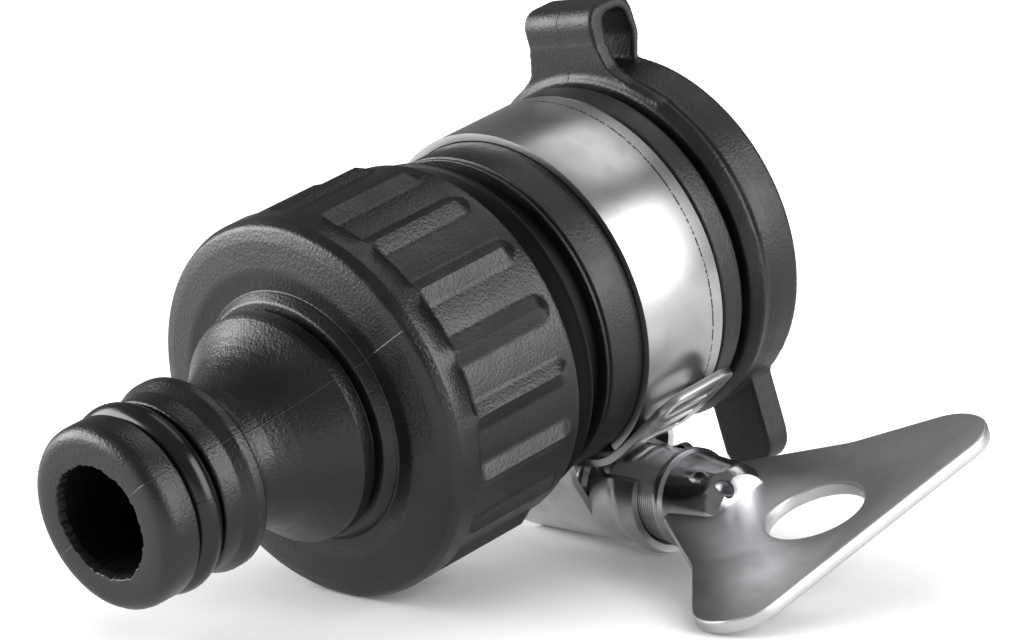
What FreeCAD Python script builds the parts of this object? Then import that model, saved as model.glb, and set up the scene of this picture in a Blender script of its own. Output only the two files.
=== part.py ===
# Tap adapter: a hose nipple with a ribbed union collar, screwed on a rubber sleeve that
# a winged band clamp tightens round an unthreaded tap.
# Every piece is drawn about the sleeve's axis. X runs from the nipple's face to the
# sleeve's mouth, and Z points to the hanging loop. One common placement then lays the
# adapter down as it comes to rest.
import FreeCAD, Part
import Sketcher
import os
from math import atan2, cos, degrees, pi, radians, sin, sqrt

from FreeCAD import Placement, Rotation, Vector

os.makedirs("parts", exist_ok=True)
doc = FreeCAD.newDocument("TapAdapter")
sheet = doc.addObject("Spreadsheet::Sheet", "Sizes")

# Driving sizes in millimetres and degrees
DRIVING = {
    # nipple
    "bore_r": 4.6,
    "nose_r": 7.6,
    "nose_round": 1.3,
    "nose_length": 3.3,
    "ring_section": 2.6,
    "ring_groove_play": 0.35,
    "ring_proud": 0.3,
    "land_front_r": 7.45,
    "land_front_length": 2.0,
    "land_ramp_length": 0.8,
    "land_r": 8.0,
    "land_length": 1.2,
    "land_back": 0.4,
    "neck_r": 5.9,
    "neck_length": 1.1,
    "neck_hollow": 3.0,
    "neck_hollow_rise": 1.5,
    "neck_hollow_r": 4.6,
    "neck_crown": 4.3,
    "neck_crown_rise": 1.95,
    "neck_crown_r": 7.5,
    # base of the nipple
    "base_ring_step": 0.22,
    "base_ring_length": 1.3,
    "base_groove_length": 0.6,
    "base_groove_depth": 0.7,
    "bead_rise": 1.6,
    "bead_length": 1.1,
    "bead_r": 1.35,
    "dish_width": 4.3,
    "dish_set": 0.35,
    "dish_r": 4.6,
    "lip_length": 1.1,
    "lip_r": 1.35,
    # union collar
    "collar_r": 15.95,
    "collar_band": 2.6,
    "collar_slope": 0.55,
    "collar_length": 11.15,
    "collar_edge_round": 0.4,
    "rib_height": 0.6,
    "rib_base_width": 3.3,
    "rib_length": 9.3,
    "rib_draft": 56.0,
    "rib_count": 18.0,
    "rib_turn": -3.0,
    "collar_face": 2.4,
    "thread_r": 13.05,
    "thread_play": 0.08,
    "thread_length": 9.0,
    "thread_relief": 0.5,
    "passage_r": 6.6,
    "passage_taper": 5.0,
    # flat seal
    "seal_lift": 0.05,
    "seal_thickness": 2.55,
    "seal_play": 0.1,
    "seal_r": 12.4,
    "seal_bore_r": 7.2,
    # threaded insert
    "insert_bore_r": 7.0,
    "insert_gap": 0.2,
    "flange_r": 14.55,
    "flange_length": 2.0,
    "waist_r": 13.3,
    "waist_length": 3.1,
    "spigot_r": 10.2,
    "spigot_length": 5.0,
    "barb_height": 0.4,
    # rubber sleeve
    "sleeve_r": 13.95,
    "sleeve_edge": 0.35,
    "sleeve_fit": 0.05,
    "pocket_depth": 5.3,
    "tap_bore_r": 9.0,
    "mouth_chamfer": 1.0,
    "band_seat_front": 3.7,
    "band_seat_play": 0.35,
    "shoulder_rise": 0.6,
    "shoulder_length": 2.35,
    "strap_groove": 0.75,
    "strap_groove_depth": 1.9,
    "strap_front_rise": 0.55,
    "strap_slope": 1.2,
    "strap_length": 2.2,
    "rim_r": 15.4,
    "rim_step": 0.1,
    "rim_length": 1.95,
    "rim_round": 0.25,
    # hanging loop
    "loop_width": 7.7,
    "loop_height": 5.3,
    "loop_front": 0.4,
    "loop_depth": 5.05,
    "loop_crown_r": 2.5,
    "loop_wall": 0.65,
    "loop_crown_wall": 1.2,
    "eye_r": 1.45,
    "eye_point": 0.5,
    "foot_half": 8.4,
    "foot_side_z": 12.9,
    "foot_top": 1.2,
    "foot_r": 5.0,
    "foot_depth": 1.4,
    # pull tongue
    "tongue_width": 5.4,
    "tongue_side": 6.05,
    "tongue_reach": 20.4,
    "tongue_thickness": 2.5,
    "tongue_front": 1.45,
    "tongue_root": 1.5,
    "tongue_round": 2.4,
    # band clamp
    "band_width": 9.0,
    "band_thickness": 0.6,
    "band_fit": 0.08,
    "layer_gap": 0.06,
    "flat_inset": 0.63,
    "entry_bend": 21.0,
    "exit_bend": 30.0,
    "tail_start": 33.5,
    "tail_span": 4.9,
    "tail_lift": 80.0,
    "fixed_end_lead": 1.5,
    "slot_pitch": 2.4,
    "slot_width": 1.6,
    "slot_length": 5.6,
    "slot_lean": 6.0,
    "slots_ahead": 6.0,
    "slots_behind": 12.0,
    "clamp_turn": 4.74,
    # screw housing
    "housing_yaw": 5.95,
    "housing_wall": 0.55,
    "housing_play": 0.08,
    "skirt_inner_half": 5.1,
    "skirt_height": 1.5,
    "skirt_rear": 3.2,
    "skirt_front": 4.6,
    "barrel_rear": 6.5,
    "barrel_front": 9.4,
    "trough_drop": 0.4,
    "pocket_play": 0.02,
    "pocket_half": 7.5,
    "pocket_reach": 6.3,
    "pocket_drop": 5.0,
    # worm screw
    "worm_r": 3.85,
    "worm_root": 0.46,
    "worm_root_gap": 0.05,
    "worm_crest": 0.5,
    "worm_flank": 0.15,
    "worm_back": 6.0,
    "worm_rings_back": 2.0,
    "worm_rings_front": 4.0,
    "screw_collar_start": 12.0,
    "screw_collar_r": 4.15,
    "screw_collar_length": 0.75,
    "head_r": 3.85,
    "head_length": 6.3,
    "head_taper": 0.5,
    "head_round": 1.2,
    # wing plate
    "wing_thickness": 1.2,
    "wing_offset": 0.4,
    "wing_fit": 0.02,
    "wing_angle": 9.7,
    "wing_root": 13.4,
    "wing_root_half": 4.3,
    "wing_waist": 22.6,
    "wing_waist_half": 9.5,
    "wing_waist_r": 16.0,
    "wing_tip_length": 6.9,
    "wing_shoulder_half": 14.2,
    "wing_end": 34.3,
    "wing_end_half": 12.6,
    "wing_tip_r": 3.9,
    "wing_hole": 27.3,
    "wing_hole_r": 4.1,
}

# Sizes that follow from the driving ones
DERIVED = {
    "ring_groove_width": "ring_section + ring_groove_play",
    "ring_r": "nose_r + ring_proud",
    "ring_half": "ring_section / 2",
    "ring_mid_r": "ring_r - ring_half",
    "ring_groove_r": "ring_r - ring_section",
    "groove_front_x": "nose_length",
    "groove_rear_x": "nose_length + ring_groove_width",
    "ring_x": "nose_length + ring_groove_width / 2",
    "land_front_x": "groove_rear_x + land_front_length",
    "land_x": "land_front_x + land_ramp_length",
    "land_rear_x": "land_x + land_length",
    "neck_front_x": "land_rear_x + land_back",
    "neck_rear_x": "neck_front_x + neck_length",
    "neck_mid_x": "neck_rear_x + neck_hollow",
    "neck_mid_r": "neck_r + neck_hollow_rise",
    "base_x": "neck_mid_x + neck_crown",
    "base_r": "neck_mid_r + neck_crown_rise",
    "base_ring_r": "base_r + base_ring_step",
    "base_ring_x": "base_x + base_ring_length",
    "base_groove_r": "base_ring_r - base_groove_depth",
    "base_groove_x": "base_ring_x + base_groove_length",
    "bead_outer_r": "base_groove_r + bead_rise",
    "bead_x": "base_groove_x + bead_length",
    "lip_x": "bead_x + dish_set",
    "lip_inner_r": "bead_outer_r + dish_width",
    "collar_x": "lip_x + lip_length",
    "collar_band_x": "collar_x + collar_band",
    "pocket_x": "collar_band_x + collar_slope",
    "collar_base_r": "collar_r - rib_height",
    "collar_rear_x": "pocket_x + collar_length",
    "rib_half": "rib_base_width / 2",
    "rib_front_x": "collar_band_x - collar_slope",
    "rib_end_x": "pocket_x + rib_length",
    "rib_round_x": "rib_end_x - rib_half",
    "rib_foot_r": "collar_base_r - rib_sink",
    "rib_sink": "rib_height / 4",
    "rib_rise": "rib_height + rib_sink",
    "rib_pitch": "360 / rib_count",
    "seat_x": "collar_x + collar_face",
    "thread_bore_r": "thread_r + thread_play",
    "passage_x": "seat_x - passage_taper",
    "seal_x": "seat_x + seal_lift",
    "seal_rear_x": "seal_x + seal_thickness",
    "insert_x": "seal_rear_x + seal_play",
    "flange_x": "collar_rear_x + insert_gap",
    "insert_lead_x": "insert_x + thread_relief",
    "thread_end_x": "insert_x + thread_length",
    "relief_r": "thread_r - thread_relief",
    "flange_rear_x": "flange_x + flange_length",
    "waist_x": "flange_rear_x + waist_length",
    "spigot_x": "waist_x + spigot_length",
    "barb_r": "spigot_r + barb_height",
    "first_barb_x": "waist_x + spigot_length / 5",
    "second_barb_x": "waist_x + 3 * spigot_length / 5",
    "pocket_r": "barb_r + sleeve_fit",
    "sleeve_edge_r": "sleeve_r - sleeve_edge",
    "sleeve_edge_x": "waist_x + sleeve_edge",
    "sleeve_step_x": "waist_x + pocket_depth",
    "band_front_x": "waist_x + band_seat_front",
    "band_mid_x": "band_front_x + band_width / 2",
    "band_rear_x": "band_front_x + band_width",
    "shoulder_x": "band_rear_x + band_seat_play",
    "shoulder_r": "sleeve_r + shoulder_rise",
    "strap_groove_x": "shoulder_x + shoulder_length",
    "strap_groove_r": "shoulder_r - strap_groove_depth",
    "strap_x": "strap_groove_x + strap_groove",
    "strap_front_r": "rim_r - strap_front_rise",
    "strap_crest_x": "strap_x + strap_slope",
    "rim_x": "strap_crest_x + strap_length",
    "rim_rear_r": "rim_r - rim_step",
    "mouth_x": "rim_x + rim_length",
    "mouth_r": "tap_bore_r + mouth_chamfer",
    "mouth_chamfer_x": "mouth_x - mouth_chamfer",
    "loop_front_x": "strap_x + loop_front",
    "loop_rear_x": "loop_front_x + loop_depth",
    "loop_foot_z": "tongue_root_z",
    "loop_half": "loop_width / 2",
    "foot_top_z": "rim_r + foot_top",
    "loop_top_z": "rim_r + loop_height",
    "loop_side_z": "loop_top_z - loop_crown_r",
    "loop_front_crown_x": "loop_front_x + loop_crown_r",
    "loop_rear_crown_x": "loop_rear_x - loop_crown_r",
    "eye_right_x": "loop_rear_x - loop_wall",
    "eye_x": "eye_right_x - eye_r",
    "eye_left_x": "eye_x - eye_r",
    "eye_top_z": "loop_top_z - loop_crown_wall",
    "eye_z": "eye_top_z - eye_r",
    "eye_point_z": "rim_r - eye_point",
    "tongue_near": "tongue_side - tongue_width / 2",
    "tongue_far": "tongue_side + tongue_width / 2",
    "tongue_round_z": "tongue_reach - tongue_round",
    "tongue_near_round": "tongue_near + tongue_round",
    "tongue_far_round": "tongue_far - tongue_round",
    "tongue_root_z": "tap_bore_r + tongue_root",
    "tongue_x": "strap_crest_x + tongue_front",
    "band_r": "sleeve_r + band_fit",
    "layer_r": "band_r + band_thickness / 2",
    "outer_layer_r": "layer_r + band_thickness + layer_gap",
    "band_outer_r": "outer_layer_r + band_thickness / 2",
    "layer_step": "outer_layer_r - layer_r",
    "clamp_flat": "layer_r - flat_inset",
    "flat_outer_z": "clamp_flat + band_thickness / 2",
    "saddle_out_z": "clamp_flat - layer_step + band_thickness / 2",
    "saddle_in_z": "saddle_out_z - band_thickness",
    "screw_drop": "flat_outer_z + worm_root_gap + worm_r - worm_root",
    "barrel_r": "worm_r + housing_play",
    "barrel_bottom": "screw_drop + barrel_r",
    "housing_half": "barrel_r + housing_wall",
    "housing_bottom": "screw_drop + housing_half",
    "skirt_half": "skirt_inner_half + housing_wall",
    "skirt_z": "saddle_out_z + skirt_height",
    "skirt_outer_z": "skirt_z + housing_wall / 2",
    "skirt_length": "skirt_rear + skirt_front",
    "barrel_length": "barrel_rear + barrel_front",
    "trough_z": "flat_outer_z + trough_drop",
    "trough_top": "saddle_in_z - housing_wall",
    "trough_half": "skirt_half + housing_wall",
    "front_trough_length": "barrel_front",
    "rear_trough_start": "skirt_rear + barrel_rear",
    "pocket_z": "saddle_in_z - pocket_play",
    "flat_front_x": "band_mid_x - pocket_reach",
    "flat_rear_x": "band_mid_x + pocket_reach",
    "worm_root_r": "worm_r - worm_root",
    "worm_core_r": "worm_root_r - worm_flank",
    "worm_crest_half": "worm_crest / 2",
    "worm_ring_half": "worm_crest_half + 2 * worm_flank",
    "worm_ring_count": "worm_rings_back + worm_rings_front + 1",
    "worm_pattern": "slot_pitch * (worm_ring_count - 1)",
    "worm_first": "slot_pitch * worm_rings_back",
    "worm_first_near": "worm_first - worm_crest_half",
    "worm_first_far": "worm_first + worm_crest_half",
    "worm_foot_near": "worm_first - worm_ring_half",
    "worm_foot_far": "worm_first + worm_ring_half",
    "screw_collar_end": "screw_collar_start + screw_collar_length",
    "head_end": "screw_collar_end + head_length",
    "wing_shoulder": "wing_end - wing_tip_length",
    "head_slot_floor": "wing_root - wing_fit",
    "wing_floor_z": "wing_offset - wing_thickness / 2",
    "head_slot_low": "wing_floor_z - wing_fit",
    "head_slot_high": "wing_floor_z + wing_thickness + wing_fit",
    "head_slot_reach_x": "head_end + head_round",
    "head_round_x": "head_end - head_round",
    "head_tip_r": "head_r - head_taper",
    "head_end_r": "head_tip_r - head_round",
    "fixed_end_angle": "270 - exit_bend - fixed_end_lead",
    "entry_angle": "entry_bend - 90",
    "exit_angle": "270 - 360 - exit_bend",
    "back_angle": "(fixed_end_angle + entry_angle) / 2",
    "tail_angle": "270 - 360 - tail_start",
    "tail_end_angle": "tail_angle - tail_span",
    "down_angle": "270 - 360",
    "entry_shift": "(layer_r - clamp_flat) / (1 - cos(entry_bend))",
    "entry_r": "layer_r - entry_shift",
    "exit_shift": "(outer_layer_r - clamp_flat) / (1 - cos(exit_bend))",
    "exit_r": "outer_layer_r - exit_shift",
    "tail_r": "outer_layer_r + tail_lift",
}

# Centre line of the band: angle, radius, and how far back its centre lies along which angle
BAND_PATH = {
    "fixed_end": ("fixed_end_angle", "layer_r", "0", "0"),
    "back": ("back_angle", "layer_r", "0", "0"),
    "entry": ("entry_angle", "layer_r", "0", "0"),
    "flat_start": ("down_angle", "entry_r", "(-entry_shift)", "entry_angle"),
    "flat_end": ("down_angle", "exit_r", "(-exit_shift)", "exit_angle"),
    "exit": ("exit_angle", "outer_layer_r", "0", "0"),
    "tail": ("tail_angle", "outer_layer_r", "0", "0"),
    "tail_end": ("tail_end_angle", "tail_r", "tail_lift", "tail_angle"),
}
BAND_ARCS = {
    "fixed_end": "layer_r",
    "back": "layer_r",
    "entry": "entry_r",
    "flat_end": "exit_r",
    "exit": "outer_layer_r",
    "tail": "tail_r",
}
for spot, (angle, radius, back, back_angle) in BAND_PATH.items():
    for side, sign in (("in", "-"), ("out", "+")):
        reach = f"({radius} {sign} band_thickness / 2)"
        DERIVED[f"{spot}_{side}_y"] = f"{reach} * cos({angle}) - {back} * cos({back_angle})"
        DERIVED[f"{spot}_{side}_z"] = f"{reach} * sin({angle}) - {back} * sin({back_angle})"
for spot, radius in BAND_ARCS.items():
    for side, sign in (("in", "-"), ("out", "+")):
        DERIVED[f"{spot}_{side}_r"] = f"{radius} {sign} band_thickness / 2"

for row, (alias, value) in enumerate(DRIVING.items(), start=1):
    sheet.set(f"A{row}", alias)
    sheet.set(f"B{row}", str(value))
    sheet.setAlias(f"B{row}", alias)
for row, (alias, formula) in enumerate(DERIVED.items(), start=len(DRIVING) + 2):
    sheet.set(f"A{row}", alias)
    sheet.setAlias(f"B{row}", alias)
for row, (alias, formula) in enumerate(DERIVED.items(), start=len(DRIVING) + 2):
    sheet.set(f"B{row}", "=" + formula)
doc.recompute()


def size(name):
    """Number held by a named cell; a leading minus turns its sign."""
    if name == "0":
        return 0.0
    if name.startswith("-"):
        return -float(sheet.get(name[1:]))
    return float(sheet.get(name))


def formula_of(name):
    """Expression that binds a property to a named cell."""
    return "-Sizes." + name[1:] if name.startswith("-") else "Sizes." + name


def bind(feature, **cells):
    """Bind properties of a feature to named cells."""
    for prop, name in cells.items():
        feature.setExpression(prop, formula_of(name))


def new_body(name):
    """Body whose label names its file."""
    body = doc.addObject("PartDesign::Body", name)
    body.Label = name
    return body


def origin_part(body, role):
    """Origin plane or axis of a body, found by its role."""
    return next(item for item in body.Origin.OriginFeatures if item.Role == role)


def new_sketch(body, name, plane):
    """Sketch on one of the body's own origin planes."""
    sketch = body.newObject("Sketcher::SketchObject", name)
    sketch.AttachmentSupport = (origin_part(body, plane), [""])
    sketch.MapMode = "FlatFace"
    return sketch


def fix_point(sketch, geometry, position, x_name, y_name):
    """Hold a sketch point at named coordinates."""
    for kind, name, axis in (("DistanceX", x_name, -2), ("DistanceY", y_name, -1)):
        if name == "0":
            sketch.addConstraint(Sketcher.Constraint("PointOnObject", geometry, position, axis))
            continue
        index = sketch.addConstraint(Sketcher.Constraint(kind, geometry, position, size(name)))
        sketch.setExpression(f"Constraints[{index}]", formula_of(name))


def arc_between(start, end, radius, turn):
    """Arc from start to end that turns left (1) or right (-1)."""
    chord = end - start
    middle = (start + end) / 2
    left = Vector(-chord.y, chord.x, 0).normalize()
    height = sqrt(max(radius ** 2 - (chord.Length / 2) ** 2, 0.0))
    centre = middle + left * height * turn
    first, last = (start, end) if turn > 0 else (end, start)
    angles = [atan2(point.y - centre.y, point.x - centre.x) for point in (first, last)]
    if angles[1] < angles[0]:
        angles[1] += 2 * pi
    return Part.ArcOfCircle(Part.Circle(centre, Vector(0, 0, 1), radius), *angles)


def draw_outline(sketch, points):
    """Closed outline through named points.

    A point is (x, y), or (x, y, radius, turn) where the line that leaves it is an arc.
    """
    places = [Vector(size(point[0]), size(point[1]), 0) for point in points]
    ends = []
    for index, point in enumerate(points):
        start, end = places[index], places[(index + 1) % len(points)]
        if len(point) == 2:
            geometry = sketch.addGeometry(Part.LineSegment(start, end))
            ends.append((geometry, 1, 2))
        else:
            turn = point[3]
            geometry = sketch.addGeometry(arc_between(start, end, size(point[2]), turn))
            ends.append((geometry, 1, 2) if turn > 0 else (geometry, 2, 1))
    for index, point in enumerate(points):
        geometry, first, last = ends[index]
        following = ends[(index + 1) % len(points)]
        sketch.addConstraint(Sketcher.Constraint("Coincident", geometry, last, following[0], following[1]))
    for index, point in enumerate(points):
        geometry, first, last = ends[index]
        fix_point(sketch, geometry, first, point[0], point[1])
        if len(point) > 2:
            mark = sketch.addConstraint(Sketcher.Constraint("Radius", geometry, size(point[2])))
            sketch.setExpression(f"Constraints[{mark}]", formula_of(point[2]))


def draw_circle(sketch, x_name, y_name, radius_name):
    """Circle with a named centre and radius."""
    centre = Vector(size(x_name), size(y_name), 0)
    geometry = sketch.addGeometry(Part.Circle(centre, Vector(0, 0, 1), size(radius_name)))
    fix_point(sketch, geometry, 3, x_name, y_name)
    mark = sketch.addConstraint(Sketcher.Constraint("Radius", geometry, size(radius_name)))
    sketch.setExpression(f"Constraints[{mark}]", formula_of(radius_name))


def revolve(body, name, points):
    """Full turn of an outline about the piece's axis."""
    sketch = new_sketch(body, name + "_profile", "XY_Plane")
    draw_outline(sketch, points)
    return turn_round(body, name, sketch)


def turn_round(body, name, sketch):
    """Full turn of a sketch about its horizontal axis."""
    turned = body.newObject("PartDesign::Revolution", name)
    turned.Profile = sketch
    turned.ReferenceAxis = (sketch, ["H_Axis"])
    turned.Angle = 360
    return turned


def pad_between(body, name, sketch, start_name, length_name):
    """Straight extrusion of a sketch that starts a named distance from its plane."""
    sketch.setExpression("AttachmentOffset.Base.z", formula_of(start_name))
    return pad(body, name, sketch, length_name, midplane=False)


def ring_edges(feature, x, radius):
    """Names of the circular edges of a turned piece at a place along X."""
    found = []
    for index, edge in enumerate(feature.Shape.Edges, start=1):
        curve = edge.Curve
        if isinstance(curve, Part.Circle) and abs(curve.Radius - radius) < 1e-4:
            if abs(curve.Center.x - x) < 1e-4:
                found.append(f"Edge{index}")
    return found


def round_edges(body, name, base, edges, radius_name):
    """Fillet of named radius on some edges of a feature."""
    rounded = body.newObject("PartDesign::Fillet", name)
    rounded.Base = (base, edges)
    bind(rounded, Radius=radius_name)
    return rounded


def pad(body, name, sketch, length_name, midplane=True):
    """Straight extrusion of a sketch."""
    raised = body.newObject("PartDesign::Pad", name)
    raised.Profile = sketch
    raised.Midplane = midplane
    bind(raised, Length=length_name)
    return raised


def cut_through(body, name, sketch):
    """Pocket through the whole body, both ways from its sketch."""
    pocket = body.newObject("PartDesign::Pocket", name)
    pocket.Profile = sketch
    pocket.Midplane = True
    pocket.Type = "ThroughAll"
    return pocket


def build_connector():
    """Nipple and union collar, one moulding with grip ribs round the collar."""
    body = new_body("connector_body")
    turned = revolve(body, "connector_turned", [
        ("0", "bore_r"),
        ("0", "nose_r"),
        ("groove_front_x", "nose_r"),
        ("groove_front_x", "ring_groove_r"),
        ("groove_rear_x", "ring_groove_r"),
        ("groove_rear_x", "land_front_r"),
        ("land_front_x", "land_front_r"),
        ("land_x", "land_r"),
        ("land_rear_x", "land_r"),
        ("neck_front_x", "neck_r"),
        ("neck_rear_x", "neck_r", "neck_hollow_r", 1),
        ("neck_mid_x", "neck_mid_r", "neck_crown_r", -1),
        ("base_x", "base_r"),
        ("base_x", "base_ring_r"),
        ("base_ring_x", "base_ring_r"),
        ("base_ring_x", "base_groove_r"),
        ("base_groove_x", "base_groove_r", "bead_r", -1),
        ("bead_x", "bead_outer_r", "dish_r", 1),
        ("lip_x", "lip_inner_r", "lip_r", -1),
        ("collar_x", "collar_r"),
        ("collar_band_x", "collar_r"),
        ("pocket_x", "collar_base_r"),
        ("collar_rear_x", "collar_base_r"),
        ("collar_rear_x", "thread_bore_r"),
        ("seat_x", "thread_bore_r"),
        ("seat_x", "passage_r"),
        ("passage_x", "bore_r"),
    ])
    doc.recompute()
    nose = ring_edges(turned, 0, size("nose_r"))
    rounded = round_edges(body, "nose_rounding", turned, nose, "nose_round")
    doc.recompute()
    rear = ring_edges(rounded, size("collar_rear_x"), size("collar_base_r"))
    rounded = round_edges(body, "collar_rounding", rounded, rear, "collar_edge_round")
    doc.recompute()

    sketch = new_sketch(body, "rib_plan", "XY_Plane")
    draw_outline(sketch, [
        ("rib_front_x", "-rib_half"),
        ("rib_round_x", "-rib_half", "rib_half", 1),
        ("rib_end_x", "0", "rib_half", 1),
        ("rib_round_x", "rib_half"),
        ("rib_front_x", "rib_half"),
    ])
    rib = pad_between(body, "rib", sketch, "rib_foot_r", "rib_rise")
    rib.setExpression("TaperAngle", "-Sizes.rib_draft")
    doc.recompute()
    ribs = body.newObject("PartDesign::PolarPattern", "ribs")
    ribs.Originals = [rib]
    ribs.Axis = (origin_part(body, "X_Axis"), [""])
    ribs.Angle = 360
    bind(ribs, Occurrences="rib_count")
    body.Tip = ribs
    return body, "rib_turn"


def build_nose_ring():
    """Round rubber ring in the nipple's groove."""
    body = new_body("nose_o_ring")
    sketch = new_sketch(body, "nose_ring_section", "XY_Plane")
    draw_circle(sketch, "ring_x", "ring_mid_r", "ring_half")
    turn_round(body, "nose_ring_turned", sketch)
    return body, None


def build_seal():
    """Flat washer on the collar's inner seat."""
    body = new_body("flat_seal")
    revolve(body, "seal_turned", [
        ("seal_x", "seal_bore_r"),
        ("seal_x", "seal_r"),
        ("seal_rear_x", "seal_r"),
        ("seal_rear_x", "seal_bore_r"),
    ])
    return body, None


def build_insert():
    """Threaded insert: union thread, stepped flange and a spigot with two barbs."""
    body = new_body("threaded_insert")
    revolve(body, "insert_turned", [
        ("insert_x", "insert_bore_r"),
        ("insert_x", "relief_r"),
        ("insert_lead_x", "thread_r"),
        ("thread_end_x", "thread_r"),
        ("thread_end_x", "relief_r"),
        ("flange_x", "relief_r"),
        ("flange_x", "flange_r"),
        ("flange_rear_x", "flange_r"),
        ("flange_rear_x", "waist_r"),
        ("waist_x", "waist_r"),
        ("waist_x", "spigot_r"),
        ("first_barb_x", "spigot_r"),
        ("first_barb_x", "barb_r"),
        ("second_barb_x", "spigot_r"),
        ("second_barb_x", "barb_r"),
        ("spigot_x", "spigot_r"),
        ("spigot_x", "insert_bore_r"),
    ])
    return body, None


def build_sleeve():
    """Rubber sleeve with its clamp seat, strap, rim, hanging loop and pull tongue."""
    body = new_body("rubber_sleeve")
    turned = revolve(body, "sleeve_turned", [
        ("waist_x", "pocket_r"),
        ("waist_x", "sleeve_edge_r"),
        ("sleeve_edge_x", "sleeve_r"),
        ("shoulder_x", "sleeve_r"),
        ("shoulder_x", "shoulder_r"),
        ("strap_groove_x", "shoulder_r"),
        ("strap_groove_x", "strap_groove_r"),
        ("strap_x", "strap_groove_r"),
        ("strap_x", "strap_front_r"),
        ("strap_crest_x", "rim_r"),
        ("rim_x", "rim_r"),
        ("mouth_x", "rim_rear_r"),
        ("mouth_x", "mouth_r"),
        ("mouth_chamfer_x", "tap_bore_r"),
        ("sleeve_step_x", "tap_bore_r"),
        ("sleeve_step_x", "pocket_r"),
    ])
    doc.recompute()
    rounded = round_edges(body, "rim_rounding", turned, ring_edges(turned, size("mouth_x"), size("rim_rear_r")),
                          "rim_round")
    doc.recompute()

    sketch = new_sketch(body, "loop_side", "XZ_Plane")
    draw_outline(sketch, [
        ("loop_front_x", "loop_foot_z"),
        ("loop_rear_x", "loop_foot_z"),
        ("loop_rear_x", "loop_side_z", "loop_crown_r", 1),
        ("loop_rear_crown_x", "loop_top_z"),
        ("loop_front_crown_x", "loop_top_z", "loop_crown_r", 1),
        ("loop_front_x", "loop_side_z"),
    ])
    pad(body, "loop", sketch, "loop_width")
    sketch = new_sketch(body, "foot_front", "YZ_Plane")
    draw_outline(sketch, [
        ("-foot_half", "loop_foot_z"),
        ("foot_half", "loop_foot_z"),
        ("foot_half", "foot_side_z", "foot_r", -1),
        ("loop_half", "foot_top_z"),
        ("-loop_half", "foot_top_z", "foot_r", -1),
        ("-foot_half", "foot_side_z"),
    ])
    pad_between(body, "loop_foot", sketch, "loop_front_x", "foot_depth")
    sketch = new_sketch(body, "eye_side", "XZ_Plane")
    draw_outline(sketch, [
        ("eye_x", "eye_point_z"),
        ("eye_right_x", "eye_z", "eye_r", 1),
        ("eye_x", "eye_top_z", "eye_r", 1),
        ("eye_left_x", "eye_z"),
    ])
    cut_through(body, "eye", sketch)

    sketch = new_sketch(body, "tongue_plan", "YZ_Plane")
    draw_outline(sketch, [
        ("-tongue_far", "-tongue_root_z"),
        ("-tongue_far", "-tongue_round_z", "tongue_round", 1),
        ("-tongue_far_round", "-tongue_reach"),
        ("-tongue_near_round", "-tongue_reach", "tongue_round", 1),
        ("-tongue_near", "-tongue_round_z"),
        ("-tongue_near", "-tongue_root_z"),
    ])
    pad_between(body, "tongue", sketch, "tongue_x", "tongue_thickness")

    sketch = new_sketch(body, "pressed_flat", "XY_Plane")
    turn = Rotation(Vector(1, 0, 0), size("clamp_turn"))
    sketch.AttachmentOffset = Placement(turn.multVec(Vector(0, 0, -size("pocket_z"))), turn)
    draw_outline(sketch, [
        ("flat_front_x", "-pocket_half"),
        ("flat_rear_x", "-pocket_half"),
        ("flat_rear_x", "pocket_half"),
        ("flat_front_x", "pocket_half"),
    ])
    pressed = body.newObject("PartDesign::Pocket", "pressed")
    pressed.Profile = sketch
    bind(pressed, Length="pocket_drop")
    return body, None


def build_band():
    """Steel band: inner layer, flat under the screw, layer over its start and lifting tail."""
    body = new_body("clamp_band")
    spots = list(BAND_PATH)
    outline = []
    for spot in spots[:-1]:
        arc = (f"{spot}_out_r", -1) if spot in BAND_ARCS else ()
        outline.append((f"{spot}_out_y", f"{spot}_out_z", *arc))
    outline.append(("tail_end_out_y", "tail_end_out_z"))
    for spot, following in zip(reversed(spots), reversed(spots[:-1])):
        arc = (f"{following}_in_r", 1) if following in BAND_ARCS else ()
        outline.append((f"{spot}_in_y", f"{spot}_in_z", *arc))
    outline.append(("fixed_end_in_y", "fixed_end_in_z"))
    sketch = new_sketch(body, "band_path", "YZ_Plane")
    draw_outline(sketch, outline)
    pad_between(body, "band_strip", sketch, "band_front_x", "band_width")
    return body, "clamp_turn"


def band_place(along):
    """Place on the band's centre line, a distance from the screw's middle towards the tail."""
    if along >= 0:
        bend, shift, bend_r = size("exit_bend"), size("exit_shift"), size("exit_r")
        hug_r, tail_start, side = size("outer_layer_r"), size("tail_start"), -1
    else:
        bend, shift, bend_r = size("entry_bend"), size("entry_shift"), size("entry_r")
        hug_r, tail_start, side = size("layer_r"), 360.0, 1
    left = abs(along)
    flat = shift * sin(radians(bend))
    if left <= flat:
        return Placement(Vector(0, side * left, -size("clamp_flat")), Rotation())
    left -= flat
    turn = degrees(left / bend_r)
    if turn <= bend:
        centre, reach = Vector(0, side * flat, -shift * cos(radians(bend))), bend_r
    else:
        left -= bend_r * radians(bend)
        turn = bend + degrees(left / hug_r)
        centre, reach = Vector(), hug_r
        if turn > tail_start:
            left -= hug_r * radians(tail_start - bend)
            turn = tail_start + degrees(left / size("tail_r"))
            lift = radians(tail_start)
            centre = Vector(0, sin(lift), cos(lift)) * size("tail_lift")
            reach = size("tail_r")
    swing = Rotation(Vector(1, 0, 0), side * turn)
    return Placement(centre + swing.multVec(Vector(0, 0, -reach)), swing)


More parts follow.
